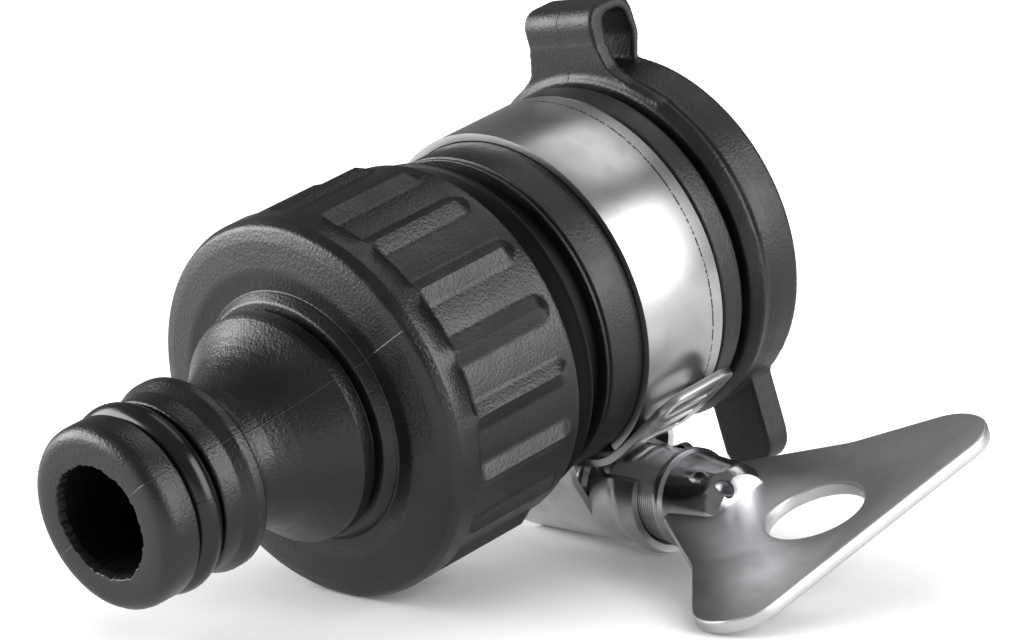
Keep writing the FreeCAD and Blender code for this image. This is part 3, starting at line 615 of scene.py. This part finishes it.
@dataclass(frozen=True)
class Rubber:
    """Black rubber, matte with faint mottling, or smooth and slightly glossy."""

    name: str
    colour: tuple[float, float, float, float] = (0.007, 0.0071, 0.0074, 1.0)
    pale: tuple[float, float, float, float] = (0.011, 0.0112, 0.0116, 1.0)
    roughness: float = 0.42
    grain: float = 4.0
    depth: float = 0.045
    seam_turn: float = 90.0
    seam_height: float = 0.03
    specular: float = 0.55
    splits: bool = False

    def material(self) -> bpy.types.Material:
        """Build the material."""
        material, graph, surface = new_material(self.name)
        place = own_place(graph, REST)
        grain = graph.place("moulded_grain", Place=place, Scale=self.grain, Depth=self.depth)
        seam = graph.place("mould_seam", Place=place, Turn=radians(self.seam_turn), Height=self.seam_height)
        tint = graph.blend(grain.outputs["Mask"], self.colour, self.pale)
        height = graph.math("ADD", grain.outputs["Height"], seam.outputs["Height"])
        if self.splits:
            mask = self.split_mask(graph, place)
            tint = graph.blend(mask, tint, (0.001, 0.001, 0.001, 1))
            height = graph.math("SUBTRACT", height, graph.math("MULTIPLY", mask, 0.3))
        graph.feed(surface.inputs["Base Color"], tint)
        rough = graph.ramp(grain.outputs["Mask"], 0.3, 0.7, self.roughness - 0.06, self.roughness + 0.06)
        graph.feed(surface.inputs["Roughness"], rough)
        surface.inputs["Specular IOR Level"].default_value = self.specular
        raise_surface(graph, surface, height)
        return material

    @staticmethod
    def split_mask(graph: Graph, place: bpy.types.NodeSocket) -> bpy.types.NodeSocket:
        """Mask of the crack along the rim and the one down the loop's front.

        Args:
            graph: The material's graph.
            place: Place in the sleeve's frame.

        Returns:
            The mask.
        """
        split = graph.node("SeparateXYZ")
        graph.feed(split.inputs[0], place)
        x, y, z = split.outputs
        camera_side = graph.math("LESS_THAN", y, -10.0)
        rim = graph.place("split_line", Across=graph.math("SUBTRACT", x, 62.4), Along=z, Start=-0.5, End=7.4)
        rim_mask = graph.math("MULTIPLY", rim.outputs["Mask"], camera_side)
        front = graph.math("LESS_THAN", x, 60.3)
        loop = graph.place("split_line", Across=graph.math("SUBTRACT", y, 0.2), Along=z, Start=14.0, End=19.0,
                           Width=0.05)
        loop_mask = graph.math("MULTIPLY", loop.outputs["Mask"], front)
        return graph.math("MAXIMUM", rim_mask, loop_mask)


@dataclass(frozen=True)
class Steel:
    """Bright steel with drawn lines, faint haze and small dents, and where asked a groove line darkened with painted
    shade.
    """

    name: str
    place: Matrix
    colour: tuple[float, float, float, float] = (0.66, 0.67, 0.68, 1.0)
    dull: tuple[float, float, float, float] = (0.5, 0.51, 0.53, 1.0)
    roughness: float = 0.18
    haze: float = 0.1
    line_scale: float = 8.0
    line_stretch: float = 0.04
    line_depth: float = 0.002
    dents: float = 0.01
    round_r: float = 0.0
    shaded_groove_x: float = 0.0
    specks: bool = False

    def material(self) -> bpy.types.Material:
        """Build the material."""
        material, graph, surface = new_material(self.name)
        place = own_place(graph, self.place)
        if self.round_r:
            place = round_place(graph, place, self.round_r)
        lines = graph.place("drawn_lines", Place=place, Scale=self.line_scale, Stretch=self.line_stretch,
                            Depth=self.line_depth)
        patches = graph.noise(place, 0.35, 2.0)
        tint = graph.blend(graph.ramp(patches, 0.35, 0.7), self.colour, self.dull)
        if self.specks:
            chips = graph.math("GREATER_THAN", graph.noise(place, 5.0, 1.0), 0.745)
            tint = graph.blend(chips, tint, (0.8, 0.8, 0.8, 1))
        surface.inputs["Metallic"].default_value = 1.0
        rough = graph.math("ADD", graph.math("MULTIPLY", lines.outputs["Mask"], self.haze),
                           graph.ramp(patches, 0.3, 0.7, self.roughness, self.roughness + self.haze))
        graph.feed(surface.inputs["Roughness"], rough)
        dent = graph.math("MULTIPLY", graph.noise(place, 1.2, 1.0), self.dents)
        height = graph.math("ADD", lines.outputs["Height"], dent)
        # A broken groove line along the band: pressed in by bump, and its colour darkened as painted shade in the
        # groove.
        if self.shaded_groove_x:
            split = graph.node("SeparateXYZ")
            graph.feed(split.inputs[0], place)
            near = graph.math("ABSOLUTE", graph.math("SUBTRACT", split.outputs["Y"], self.shaded_groove_x))
            broken = graph.math("GREATER_THAN", graph.noise(place, 3.0, 2.0), 0.45)
            groove = graph.math("MULTIPLY", graph.math("LESS_THAN", near, 0.08), broken)
            height = graph.math("SUBTRACT", height, graph.math("MULTIPLY", groove, 0.05))
            # Painted shade: the groove line is coloured dark.
            tint = graph.blend(groove, tint, (0.06, 0.06, 0.06, 1))
        graph.feed(surface.inputs["Base Color"], tint)
        raise_surface(graph, surface, height)
        return material


# Pieces


@dataclass
class Connector:
    """Nipple with the ribbed union collar, one moulding, and its round rubber ring."""

    bore_r: float = 4.6
    rib_count: int = 18
    columns: int = 432
    rib_first: float = 20 / 3
    rib_height: float = 0.68
    rib_flanks: Point = (1.16, 1.4)
    rib_end: float = 36.8
    band_end: float = 25.3
    wall_run: float = 0.85
    collar_r: float = 15.95
    collar_rear: float = 37.8
    seam_turn: float = 154.5
    ring_x: float = 4.775
    ring_section: float = 2.6
    ring_r: float = 7.9

    def profile(self) -> list[Corner]:
        """Section of the moulding from the bore's mouth round to its inner passage."""
        return [
            (0.0, 4.75, 0.12), (0.0, 7.6, 1.3), (3.3, 7.6, 0.25), (3.3, 5.3, 0.1), (6.25, 5.3, 0.1),
            (6.25, 7.45, 0.25), (8.1, 7.45, 0.5), (9.15, 8.0, 0.5), (10.15, 8.0, 0.35), (10.65, 6.0, 0.4),
            (12.2, 5.9, 0.5), (13.3, 6.08, 0.5), (14.3, 6.42, 0.5), (15.3, 6.84, 0.5), (16.2, 7.3, 0.5),
            (17.0, 7.82, 0.4), (17.7, 8.36, 0.4), (18.3, 8.9, 0.4), (18.85, 9.4, 0.15),
            (19.15, 9.57, 0.1), (20.35, 9.57, 0.2), (20.4, 8.87, 0.12), (20.95, 8.87, 0.12),
            (21.05, 9.9, 0.35), (21.8, 10.4, 0.4), (22.02, 10.5, 0.2), (21.75, 12.2, 1.8), (22.25, 14.5, 0.9),
            (22.6, 15.6, 0.6), (23.5, 15.95, 0.3), (25.3, 15.95, 0.0), (37.8, 15.95, 0.3),
            (37.8, 13.13, 0.25), (25.9, 13.13, 0.0), (25.9, 6.6, 0.0), (20.9, 4.6, 0.0), (0.7, 4.55, 0.2),
        ]

    def press_pockets(self, shell: bpy.types.Object) -> None:
        """Press the pockets between the ribs into the collar."""
        spots = coordinates(shell)
        x, radius = spots[:, 0], np.hypot(spots[:, 1], spots[:, 2])
        turn = np.degrees(np.arctan2(spots[:, 2], spots[:, 1]))
        pitch = 360 / self.rib_count
        off = (turn - self.rib_first + pitch / 2) % pitch - pitch / 2
        upper, lower = self.rib_flanks
        side = np.abs(np.radians(off)) * self.collar_r / np.where(off < 0, upper, lower)
        past = np.maximum(x - (self.rib_end - lower), 0) / lower
        flank = np.clip(np.hypot(side, past), 0, 1)
        front = np.clip((x - self.band_end) / self.wall_run, 0, 1)
        depth = 1 - np.clip(np.hypot(1 - flank, 1 - front), 0, 1)
        outer = (radius > 14.5) & (x > self.band_end) & (x < 37.9)
        drop = np.where(outer, depth * self.rib_height, 0.0)
        scale = (radius - drop) / np.maximum(radius, 1e-6)
        spots[:, 1:] *= scale[:, None]
        set_coordinates(shell, spots)

    def ragged_bore(self, shell: bpy.types.Object) -> None:
        """Give the bore's mouth its uneven flash edge."""
        spots = coordinates(shell)
        turn = np.arctan2(spots[:, 2], spots[:, 1])
        radius = np.hypot(spots[:, 1], spots[:, 2])
        near = (spots[:, 0] < 0.9) & (radius < 4.9)
        waves = sum(size * np.sin(count * turn + start) for count, size, start in
                    ((3, 0.05, 0.4), (7, 0.04, 2.1), (13, 0.035, 1.2), (22, 0.03, 0.3), (37, 0.03, 2.6), (53, 0.02, 1.1)))
        scale = np.where(near, 1 + (waves - 0.04) / 4.6, 1.0)
        spots[:, 1:] *= scale[:, None]
        set_coordinates(shell, spots)

    def build(self) -> list[bpy.types.Object]:
        """Build the moulding and its ring."""
        shell = turned("connector_shell", self.profile(), steps=self.columns, segments=4, cuts=(25.3, 37.8, 0.24))
        self.press_pockets(shell)
        self.ragged_bore(shell)
        lay_down(shell, REST, 40)
        stand_for(shell, Body.CONNECTOR, "connector_plastic",
                  MouldedPlastic("connector_black", seam_turn=self.seam_turn).material(), "connector_body")

        bpy.ops.mesh.primitive_torus_add(major_radius=self.ring_r - self.ring_section / 2,
                                         minor_radius=self.ring_section / 2, major_segments=160,
                                         minor_segments=36, rotation=(0, pi / 2, 0), location=(self.ring_x, 0, 0))
        ring = bpy.context.object
        ring.name = "nose_ring"
        lay_down(ring, REST, 60)
        finish = Rubber("ring_rubber", colour=(0.006, 0.006, 0.0063, 1), pale=(0.009, 0.009, 0.0094, 1),
                        roughness=0.24, depth=0.003, seam_turn=self.seam_turn + 25, specular=0.5)
        stand_for(ring, Body.CONNECTOR, "seal_rubber", finish.material(), "nose_o_ring")
        return [shell, ring]


@dataclass
class Sleeve:
    """Rubber sleeve: body under the band, strap and rim with the hanging loop and tongue."""

    pressed_z: float = -12.72
    pressed_front: float = 45.0
    pressed_rear: float = 57.6
    voxel: float = 0.19

    def body_profile(self) -> list[Corner]:
        """Section of the sleeve from its front edge to the groove before the strap."""
        return [
            (43.1, 10.65, 0.1), (42.6, 13.2, 0.1), (42.6, 13.9, 0.12), (42.85, 13.9, 0.06), (42.9, 13.7, 0.0),
            (43.1, 13.7, 0.0), (43.2, 13.95, 0.1), (56.1, 13.95, 0.0), (56.15, 14.55, 0.25), (58.5, 14.55, 0.3),
            (58.5, 12.65, 0.2), (59.6, 12.65, 0.0), (59.6, 9.0, 0.0), (48.4, 9.0, 0.0), (48.4, 10.65, 0.0),
        ]

    def rim_profile(self) -> list[Corner]:
        """Section of the strap and rim to the mouth."""
        return [
            (59.25, 9.0, 0.0), (59.25, 14.75, 0.2), (60.35, 15.5, 0.3), (61.05, 15.0, 0.25), (62.5, 15.2, 1.0),
            (64.6, 15.35, 0.25),
            (64.6, 10.0, 0.3), (63.6, 9.0, 0.2),
        ]

    def loop(self) -> bpy.types.Object:
        """Hanging loop with its teardrop eye and a foot that flares out along the strap."""
        side = plate("loop", [(59.65, 10.5, 0), (64.2, 10.5, 0), (64.0, 14.8, 1.0), (64.95, 17.0, 1.8),
                              (64.75, 20.5, 2.2), (59.7, 20.5, 2.6), (59.7, 16.0, 0)], -3.95, 3.95, upright=True)
        eye = plate("eye", [(61.9, 14.5, 0.4), (63.35, 14.5, 0.4), (64.3, 17.2, 1.2), (64.0, 19.6, 1.2),
                            (61.3, 19.6, 1.4), (61.15, 17.0, 1.5)], -9, 9, upright=True)
        foot = plate("foot", [(-9.4, 10.5, 0), (9.4, 10.5, 0), (9.4, 12.2, 0), (6.4, 13.9, 1.5), (4.6, 15.1, 1.5),
                              (3.85, 17.6, 0), (-3.85, 17.6, 0), (-4.6, 15.1, 1.5), (-6.4, 13.9, 1.5),
                              (-9.4, 12.2, 0)], 59.65, 61.0)
        foot.data.transform(Matrix(((0, 0, 1, 0), (1, 0, 0, 0), (0, 1, 0, 0), (0, 0, 0, 1))))
        fuse(side, foot)
        cut(side, eye)
        return side

    def tongue(self) -> bpy.types.Object:
        """Pull tongue that hangs from the strap."""
        tongue = plate("tongue", [(-8.75, -10.5, 0), (-8.75, -20.4, 2.4), (-3.35, -20.4, 2.4), (-3.35, -10.5, 0)],
                       61.9, 64.4)
        tongue.data.transform(Matrix(((0, 0, 1, 0), (1, 0, 0, 0), (0, 1, 0, 0), (0, 0, 0, 1))))
        return tongue

    def build(self) -> list[bpy.types.Object]:
        """Build the sleeve's two parts."""
        rubber = Rubber("sleeve_rubber", splits=True).material()
        body = turned("sleeve_body", self.body_profile(), steps=256, cuts=(43.5, 59.0, 0.5))
        spots = coordinates(body)
        spin = np.array(Matrix.Rotation(radians(4.74), 3, "X"))
        own = spots @ spin
        pressed = (own[:, 2] < self.pressed_z) & (own[:, 0] > self.pressed_front) & (own[:, 0] < self.pressed_rear)
        own[pressed, 2] = self.pressed_z
        set_coordinates(body, own @ spin.T)
        lay_down(body, REST, 35)
        stand_for(body, Body.SLEEVE_SIDE, "sleeve_rubber", rubber, "rubber_sleeve")

        rim = joined([turned("rim", self.rim_profile(), steps=256), self.loop(), self.tongue()], "sleeve_rim")
        apply_modifier(rim, "REMESH", mode="VOXEL", voxel_size=self.voxel)
        apply_modifier(rim, "SMOOTH", factor=0.5, iterations=4)
        lay_down(rim, REST, 60)
        stand_for(rim, Body.SLEEVE_SIDE, "sleeve_rubber", rubber)
        return [body, rim]


@dataclass
class Insert:
    """Threaded insert and the flat seal inside the union."""

    def build(self) -> list[bpy.types.Object]:
        """Build both pieces."""
        insert = turned("insert_shell", [
            (28.6, 7.0, 0.2), (28.6, 12.55, 0.2), (29.1, 13.05, 0.2), (37.6, 13.05, 0.2), (37.6, 12.55, 0.0),
            (38.0, 12.55, 0.0), (38.1, 13.0, 0.1), (39.75, 14.3, 0.1), (39.95, 14.55, 0.1), (40.2, 14.5, 0.1),
            (40.25, 12.9, 0.15), (43.1, 12.9, 0.0),
            (43.1, 10.2, 0.0), (48.1, 10.2, 0.2), (48.1, 7.0, 0.2)], steps=192)
        lay_down(insert, REST, 35)
        finish = MouldedPlastic("insert_black", colour=(0.006, 0.006, 0.0062, 1), worn=(0.009, 0.009, 0.0095, 1),
                                roughness=0.5, specular=0.2, depth=0.004, seam_height=0.0)
        stand_for(insert, Body.SLEEVE_SIDE, "insert_plastic", finish.material(), "threaded_insert")
        seal = turned("seal_washer", [(25.9, 7.2, 0.2), (25.9, 12.4, 0.2), (28.5, 12.4, 0.2), (28.5, 7.2, 0.2)], 128)
        lay_down(seal, REST, 35)
        stand_for(seal, Body.SEAL, "seal_rubber", Rubber("washer_rubber").material(), "flat_seal")
        return [insert, seal]


@dataclass
class BandClamp:
    """Slotted steel band: inner layer, flat under the screw, outer layer and lifting tail."""

    width: float = 9.0
    thickness: float = 0.6
    layer_r: float = 14.33
    outer_r: float = 14.99
    flat: float = 13.7
    entry_bend: float = 21.0
    exit_bend: float = 30.0
    tail_start: float = 33.5
    tail_lift: float = 80.0
    tail_span: float = 4.9
    slot_pitch: float = 2.4
    slot_size: Point = (5.6, 1.6)
    slots: tuple[int, int] = (-12, 6)
    lean: float = -5.95
    middle_x: float = 51.3

    def spot(self, along: float) -> Matrix:
        """Place on the band's centre line, a distance from the screw's middle to the tail."""
        if along >= 0:
            bend, hug, start, side = self.exit_bend, self.outer_r, self.tail_start, -1
        else:
            bend, hug, start, side = self.entry_bend, self.layer_r, 360.0, 1
        shift = (hug - self.flat) / (1 - cos(radians(bend)))
        bend_r, left, flat = hug - shift, abs(along), shift * sin(radians(bend))
        if left <= flat:
            return Matrix.Translation((0, side * left, -self.flat))
        left -= flat
        turn = degrees(left / bend_r)
        centre, reach = Vector((0, side * flat, -shift * cos(radians(bend)))), bend_r
        if turn > bend:
            left -= bend_r * radians(bend)
            turn, centre, reach = bend + degrees(left / hug), Vector(), hug
            if turn > start:
                left -= hug * radians(start - bend)
                turn, reach = start + degrees(left / self.tail_end_r), self.tail_end_r
                centre = Vector((0, sin(radians(start)), cos(radians(start)))) * self.tail_lift
        swing = Matrix.Rotation(side * radians(turn), 4, "X")
        return Matrix.Translation(centre) @ swing @ Matrix.Translation((0, 0, -reach))

    @property
    def tail_end_r(self) -> float:
        """Radius of the tail's slow curve."""
        return self.outer_r + self.tail_lift

    def reach(self) -> Point:
        """Distances from the screw's middle to the fixed end and to the tail's end."""
        out = 0.0
        for bend, hug, end in ((self.entry_bend, self.layer_r, 360 - self.exit_bend - 1.5),
                               (self.exit_bend, self.outer_r, self.tail_start)):
            shift = (hug - self.flat) / (1 - cos(radians(bend)))
            length = shift * sin(radians(bend)) + (hug - shift) * radians(bend) + hug * radians(end - bend)
            out, back = length, out
        return -back, out + self.tail_end_r * radians(self.tail_span)

    def strip(self) -> bpy.types.Object:
        """Flat strip with its slots, along Y with the tail's end at the greatest value."""
        start, end = self.reach()
        half = self.width / 2
        strip = plate("band_strip", [(-half, start, 0.3), (half, start, 0.3), (half, end, 2.2), (-half, end, 2.2)],
                      -self.thickness / 2, self.thickness / 2)
        long, wide = self.slot_size
        slot = plate("slot", [(-long / 2, -wide / 2, 0.3), (long / 2, -wide / 2, 0.3), (long / 2, wide / 2, 0.3),
                              (-long / 2, wide / 2, 0.3)], -2, 2, segments=3)
        slot.data.transform(Matrix.Rotation(radians(self.lean), 4, "Z"))
        first, last = self.slots
        places = [Matrix.Translation((0, number * self.slot_pitch, 0)) for number in range(first, last + 1)]
        cutter = joined(copies(slot, places), "slots")
        bpy.data.objects.remove(slot)
        cut(strip, cutter)
        edit(strip)
        for step in range(int((end - start) / 0.45)):
            bpy.ops.mesh.select_all(action="SELECT")
            bpy.ops.mesh.bisect(plane_co=(0, start + 0.45 * step + 0.2, 0), plane_no=(0, 1, 0))
        leave_edit()
        soften(strip, 0.16, 3, 40)
        return strip

    def build(self) -> list[bpy.types.Object]:
        """Cut the strip and lay it along its path."""
        band = self.strip()
        spots = coordinates(band)
        laid = [self.spot(y) @ Vector((x + self.middle_x, 0, -z)) for x, y, z in spots]
        set_coordinates(band, np.array([tuple(spot) for spot in laid]))
        band.name = "band_steel"
        edit(band)
        bpy.ops.mesh.select_all(action="SELECT")
        bpy.ops.mesh.normals_make_consistent(inside=False)
        leave_edit()
        lay_down(band, CLAMP, 30)
        # The band's groove near its rear edge is pressed in by bump and darkened with painted shade.
        finish = Steel("band_bright", CLAMP, colour=(0.52, 0.523, 0.53, 1), dull=(0.47, 0.473, 0.48, 1), round_r=14.6,
                       roughness=0.27, haze=0.04, line_depth=0.0006, dents=0.0, shaded_groove_x=54.6, specks=True)
        stand_for(band, Body.SLEEVE_SIDE, "band_steel", finish.material(), "clamp_band")
        return [band]


@dataclass
class ScrewHousing:
    """Pressed housing: skirt round the band, saddle below it and the screw's barrel.

    It is drawn along the screw, with Z up to the sleeve.
    """

    wall: float = 0.55
    skirt_half: float = 5.65
    skirt: Point = (-3.2, 4.4)
    barrel: Point = (-6.5, 9.9)
    barrel_r: float = 4.48
    saddle: Point = (4.1, 4.7)
    skirt_foot: float = 2.33
    trough: float = 2.5
    bead: tuple[float, float, float, float] = (7.9, 0.2, 0.9, 0.45)

    def section(self, name: str, inner: bool) -> bpy.types.Object:
        """Omega section of the skirt and barrel as a solid, outer or inner."""
        shrink = self.wall if inner else 0.0
        half, radius = self.skirt_half - shrink, self.barrel_r - shrink
        top = self.saddle[0] if inner else self.saddle[1]
        foot = self.skirt_foot + (0.27 if inner else 0.0)
        arc = [(radius * cos(radians(a)), radius * sin(radians(a)), 0.0) for a in range(-12, -169, -6)]
        flank = 0.3 if inner else 0.8
        outline = [(half, top, 0.2 if inner else 0.5), (half, foot, flank), *arc, (-half, foot, flank),
                   (-half, top, 0.2 if inner else 0.5)]
        low, high = self.skirt
        if inner:
            low, high = low - 0.02, high + 0.02
        solid = plate(name, outline, low, high)
        solid.data.transform(Matrix(((0, 0, 1, 0), (1, 0, 0, 0), (0, 1, 0, 0), (0, 0, 0, 1))))
        return solid

    def build(self) -> list[bpy.types.Object]:
        """Build the housing."""
        shell = self.section("screw_housing_steel", inner=False)
        fuse(shell, drum("barrel", self.barrel_r, *self.barrel, corners=96))
        cut(shell, self.section("channel", inner=True))
        cut(shell, drum("bore", self.barrel_r - self.wall, -20, 20, corners=96))
        front, rear = self.skirt[1], self.skirt[0]
        cut(shell, plate("front_trough", [(front, 9, 0), (front, self.trough, 1.5), (14, self.trough, 0), (14, 9, 0)],
                         -9, 9, upright=True))
        cut(shell, plate("rear_trough", [(rear, 9, 0), (rear, self.trough, 1.5), (-14, self.trough, 0), (-14, 9, 0)],
                         -9, 9, upright=True))
        edit(shell)
        for step in range(16):
            bpy.ops.mesh.select_all(action="SELECT")
            bpy.ops.mesh.bisect(plane_co=(4.9 + 0.28 * step, 0, 0), plane_no=(1, 0, 0))
        leave_edit()
        soften(shell, 0.14, 3, 40)
        spots = coordinates(shell)
        radius = np.hypot(spots[:, 1], spots[:, 2])
        start, lean, reach, rise = self.bead
        middle = start + lean * (self.trough - spots[:, 2])
        swell = rise * np.exp(-((spots[:, 0] - middle) / reach) ** 2)
        near = (radius < self.barrel_r + 0.3) & (spots[:, 0] > 4.7)
        scale = np.where(near, (radius + swell) / np.maximum(radius, 1e-6), 1.0)
        spots[:, 1:] *= scale[:, None]
        set_coordinates(shell, spots)
        lay_down(shell, SCREW, 35)
        finish = Steel("housing_satin", SCREW, colour=(0.56, 0.565, 0.58, 1), dull=(0.46, 0.465, 0.48, 1), roughness=0.26,
                       haze=0.08, line_scale=5.0, line_stretch=0.1, dents=0.004)
        stand_for(shell, Body.SLEEVE_SIDE, "clamp_steel", finish.material(), "screw_housing")
        return [shell]


@dataclass
class WingScrew:
    """Worm screw with its collar and staked head, and the wing plate in the head's slot."""

    radius: float = 3.85
    root: float = 0.46
    pitch: float = 2.4
    collar: Point = (11.9, 12.75)
    head_end: float = 19.05
    dimples: tuple[tuple[Corner, Corner], ...] = (((16.0, -1.6, 3.9), (1.3, 0.8, 0.9)), ((18.1, -0.9, 2.2), (1.3, 0.6, 0.8)))

    def screw_profile(self) -> list[Corner]:
        """Section of the screw from its inner end to the head."""
        root = self.radius - self.root
        corners = [(-6.0, 0.0, 0.0), (-6.0, root - 0.3, 0.0), (-5.7, root, 0.0)]
        for number in range(5):
            x = -4.8 + self.pitch * number
            corners += [(x - 0.62, root, 0.1), (x - 0.25, self.radius, 0.1), (x + 0.25, self.radius, 0.1),
                        (x + 0.62, root, 0.1)]
        x = 5.9
        while x < 11.7:
            corners += [(x, self.radius - 0.06, 0.0), (x + 0.14, self.radius - 0.06, 0.0),
                        (x + 0.17, self.radius - 0.09, 0.0), (x + 0.2, self.radius - 0.09, 0.0)]
            x += 0.24
        start, end = self.collar
        corners += [(start - 0.2, self.radius - 0.25, 0.0), (start, self.radius - 0.2, 0.05), (start, 4.15, 0.12),
                    (end - 0.2, 4.15, 0.12), (end, 3.95, 0.1), (end + 0.1, self.radius, 0.1),
                    (self.head_end - 1.2, 3.45, 1.3), (self.head_end, 2.5, 1.0), (self.head_end, 0.0, 0.0)]
        return corners

    def build(self) -> list[bpy.types.Object]:
        """Build the screw and the plate."""
        screw = turned("worm_screw_steel", self.screw_profile(), steps=120, segments=3)
        edit(screw)
        for place, facing in (((17.6, -2.5, 1.9), (0.55, -0.5, 0.67)), ((18.3, -2.2, -1.0), (0.7, -0.6, -0.35)),
                              ((18.75, 0, 0), (1, -0.1, 0.05))):
            bpy.ops.mesh.select_all(action="SELECT")
            bpy.ops.mesh.bisect(plane_co=place, plane_no=facing, use_fill=True, clear_outer=True)
        leave_edit()
        for place, reach in self.dimples:
            deselect()
            bpy.ops.mesh.primitive_uv_sphere_add(segments=40, ring_count=20, radius=1.0)
            ball = bpy.context.object
            ball.data.transform(Matrix.Translation(place) @ Matrix.Diagonal((*reach, 1)))
            cut(screw, ball)
        soften(screw, 0.1, 3, 50)
        lay_down(screw, WING, 40)
        finish = Steel("screw_polished", WING, colour=(0.6, 0.6, 0.61, 1), dull=(0.42, 0.42, 0.44, 1), roughness=0.14,
                       haze=0.08, line_stretch=4.0, line_scale=2.0)
        stand_for(screw, Body.WING_SCREW, "clamp_steel", finish.material(), "worm_screw")

        tip = [(30.35 + 4.03 * cos(radians(a)), 11.7 + 4.03 * sin(radians(a)), 0.0) for a in range(-3, 140, 6)]
        side = [(34.35, 8.5, 8.0), *tip, (22.3, 9.5, 5.0), (13.4, 4.3, 0.4)]
        plate_steel = plate("wing_steel", [*side, *[(x, -y, r) for x, y, r in reversed(side)]], -0.2, 1.0)
        hole = drum("hole", 4.1, -5, 5, 96)
        hole.data.transform(Matrix.Translation((27.3, 0, 0)) @ Matrix.Rotation(pi / 2, 4, "Y"))
        cut(plate_steel, hole)
        soften(plate_steel, 0.24, 3, 40)
        lay_down(plate_steel, WING, 35)
        finish = Steel("wing_satin", WING, colour=(0.76, 0.765, 0.78, 1), dull=(0.68, 0.685, 0.7, 1), roughness=0.36,
                       haze=0.06, line_stretch=0.5, line_scale=6.0, line_depth=0.004, dents=0.004, specks=True)
        stand_for(plate_steel, Body.WING_SCREW, "wing_steel", finish.material(), "wing_plate")
        return [screw, plate_steel]


@dataclass
class Studio:
    """Pale floor, soft lamps and the photograph's camera."""

    ambient: float = 0.24
    dark: float = 0.03
    dark_side: Corner = (0.816, -0.071, 0.574)
    floor_glow: float = 0.85
    # Reach of the ambient occlusion that paints the floor's contact shadow.
    painted_shadow_reach: float = 0.05

    def camera(self) -> None:
        """Camera at the photograph's viewing angle."""
        data = bpy.data.cameras.new("camera")
        data.sensor_width, data.lens = 36.0, 36.0 * 5600 / 1024
        data.clip_start, data.clip_end = 0.05, 10
        camera = bpy.data.objects.new("camera", data)
        camera.rotation_mode = "QUATERNION"
        camera.location = (-0.310118, -0.299297, 0.107775)
        camera.rotation_quaternion = Quaternion((0.7099141, 0.5846194, -0.2474584, -0.3049697))
        bpy.context.collection.objects.link(camera)
        bpy.context.scene.camera = camera

    def floor(self) -> None:
        """Wide pale floor, a little brighter to the camera, with a painted contact shadow where its glow fades near the
        object.
        """
        deselect()
        bpy.ops.mesh.primitive_plane_add(size=6.0)
        floor = bpy.context.object
        floor.name = "floor"
        material, graph, surface = new_material("floor_white")
        surface.inputs["Base Color"].default_value = (0.9, 0.9, 0.9, 1)
        surface.inputs["Roughness"].default_value = 0.9
        surface.inputs["Specular IOR Level"].default_value = 0.1
        surface.inputs["Emission Color"].default_value = (1, 1, 1, 1)
        path = graph.node("LightPath")
        mirrored = graph.math("MULTIPLY", path.outputs["Is Glossy Ray"], 0.25)
        seen = graph.math("MAXIMUM", path.outputs["Is Camera Ray"], mirrored)
        seen = graph.math("MAXIMUM", seen, path.outputs["Is Transmission Ray"])
        # Painted contact shadow: ambient occlusion weakens the floor's glow near the object, so the floor is darker
        # under and beside it.
        painted_shadow_ao = graph.node("AmbientOcclusion", samples=8)
        painted_shadow_ao.inputs["Distance"].default_value = self.painted_shadow_reach
        glow = graph.math("MULTIPLY", graph.math("POWER", painted_shadow_ao.outputs["AO"], 1.5), self.floor_glow)
        graph.feed(surface.inputs["Emission Strength"], graph.math("MULTIPLY", seen, glow))
        floor.data.materials.append(material)

    def world(self) -> None:
        """Soft surroundings: pale in front and above, dark behind the object on the right."""
        world = bpy.data.worlds.new("studio")
        bpy.context.scene.world = world
        world.use_nodes = True
        graph = Graph(world.node_tree)
        sky = world.node_tree.nodes["Background"]
        sky.inputs["Color"].default_value = (1, 1, 1, 1)
        around = graph.node("VectorMath", operation="DOT_PRODUCT")
        graph.feed(around.inputs[0], graph.node("TexCoord").outputs["Generated"])
        around.inputs[1].default_value = self.dark_side
        graph.feed(sky.inputs["Strength"], graph.ramp(around.outputs["Value"], 0.45, 0.9, self.ambient, self.dark))

    def lamp(self, name: str, place: Vector, target: Vector, size: Point, power: float) -> None:
        """Soft box that faces a target."""
        data = bpy.data.lights.new(name, "AREA")
        data.shape, data.size, data.size_y, data.energy = "RECTANGLE", size[0], size[1], power
        lamp = bpy.data.objects.new(name, data)
        lamp.location = place
        lamp.rotation_mode = "QUATERNION"
        lamp.rotation_quaternion = (target - place).to_track_quat("-Z", "Y")
        bpy.context.collection.objects.link(lamp)

    def build(self) -> None:
        """Set up the studio."""
        bpy.context.scene.view_settings.view_transform = "Standard"
        self.camera()
        self.floor()
        self.world()
        middle = Vector((0, 0, 0.02))
        self.lamp("left_box", self.around(125, 19, 0.62), middle, (0.66, 0.36), 5.8)
        self.lamp("right_box", self.around(-66, 24, 0.62), middle, (0.48, 0.48), 3.3)
        self.lamp("top_box", self.around(5, 62, 0.6), middle, (0.4, 0.2), 0.4)

    @staticmethod
    def around(azimuth: float, height: float, distance: float) -> Vector:
        """Place at an azimuth and height angle round the object."""
        flat = distance * cos(radians(height))
        return Vector((flat * cos(radians(azimuth)), flat * sin(radians(azimuth)), distance * sin(radians(height))))


def main() -> None:
    """Build the adapter piece by piece, then the studio."""
    logging.basicConfig(level=logging.INFO, format="%(message)s")
    build_groups()
    for part in (Connector(), Sleeve(), Insert(), BandClamp(), ScrewHousing(), WingScrew()):
        part.build()
    Studio().build()


if __name__ == "__main__":
    main()
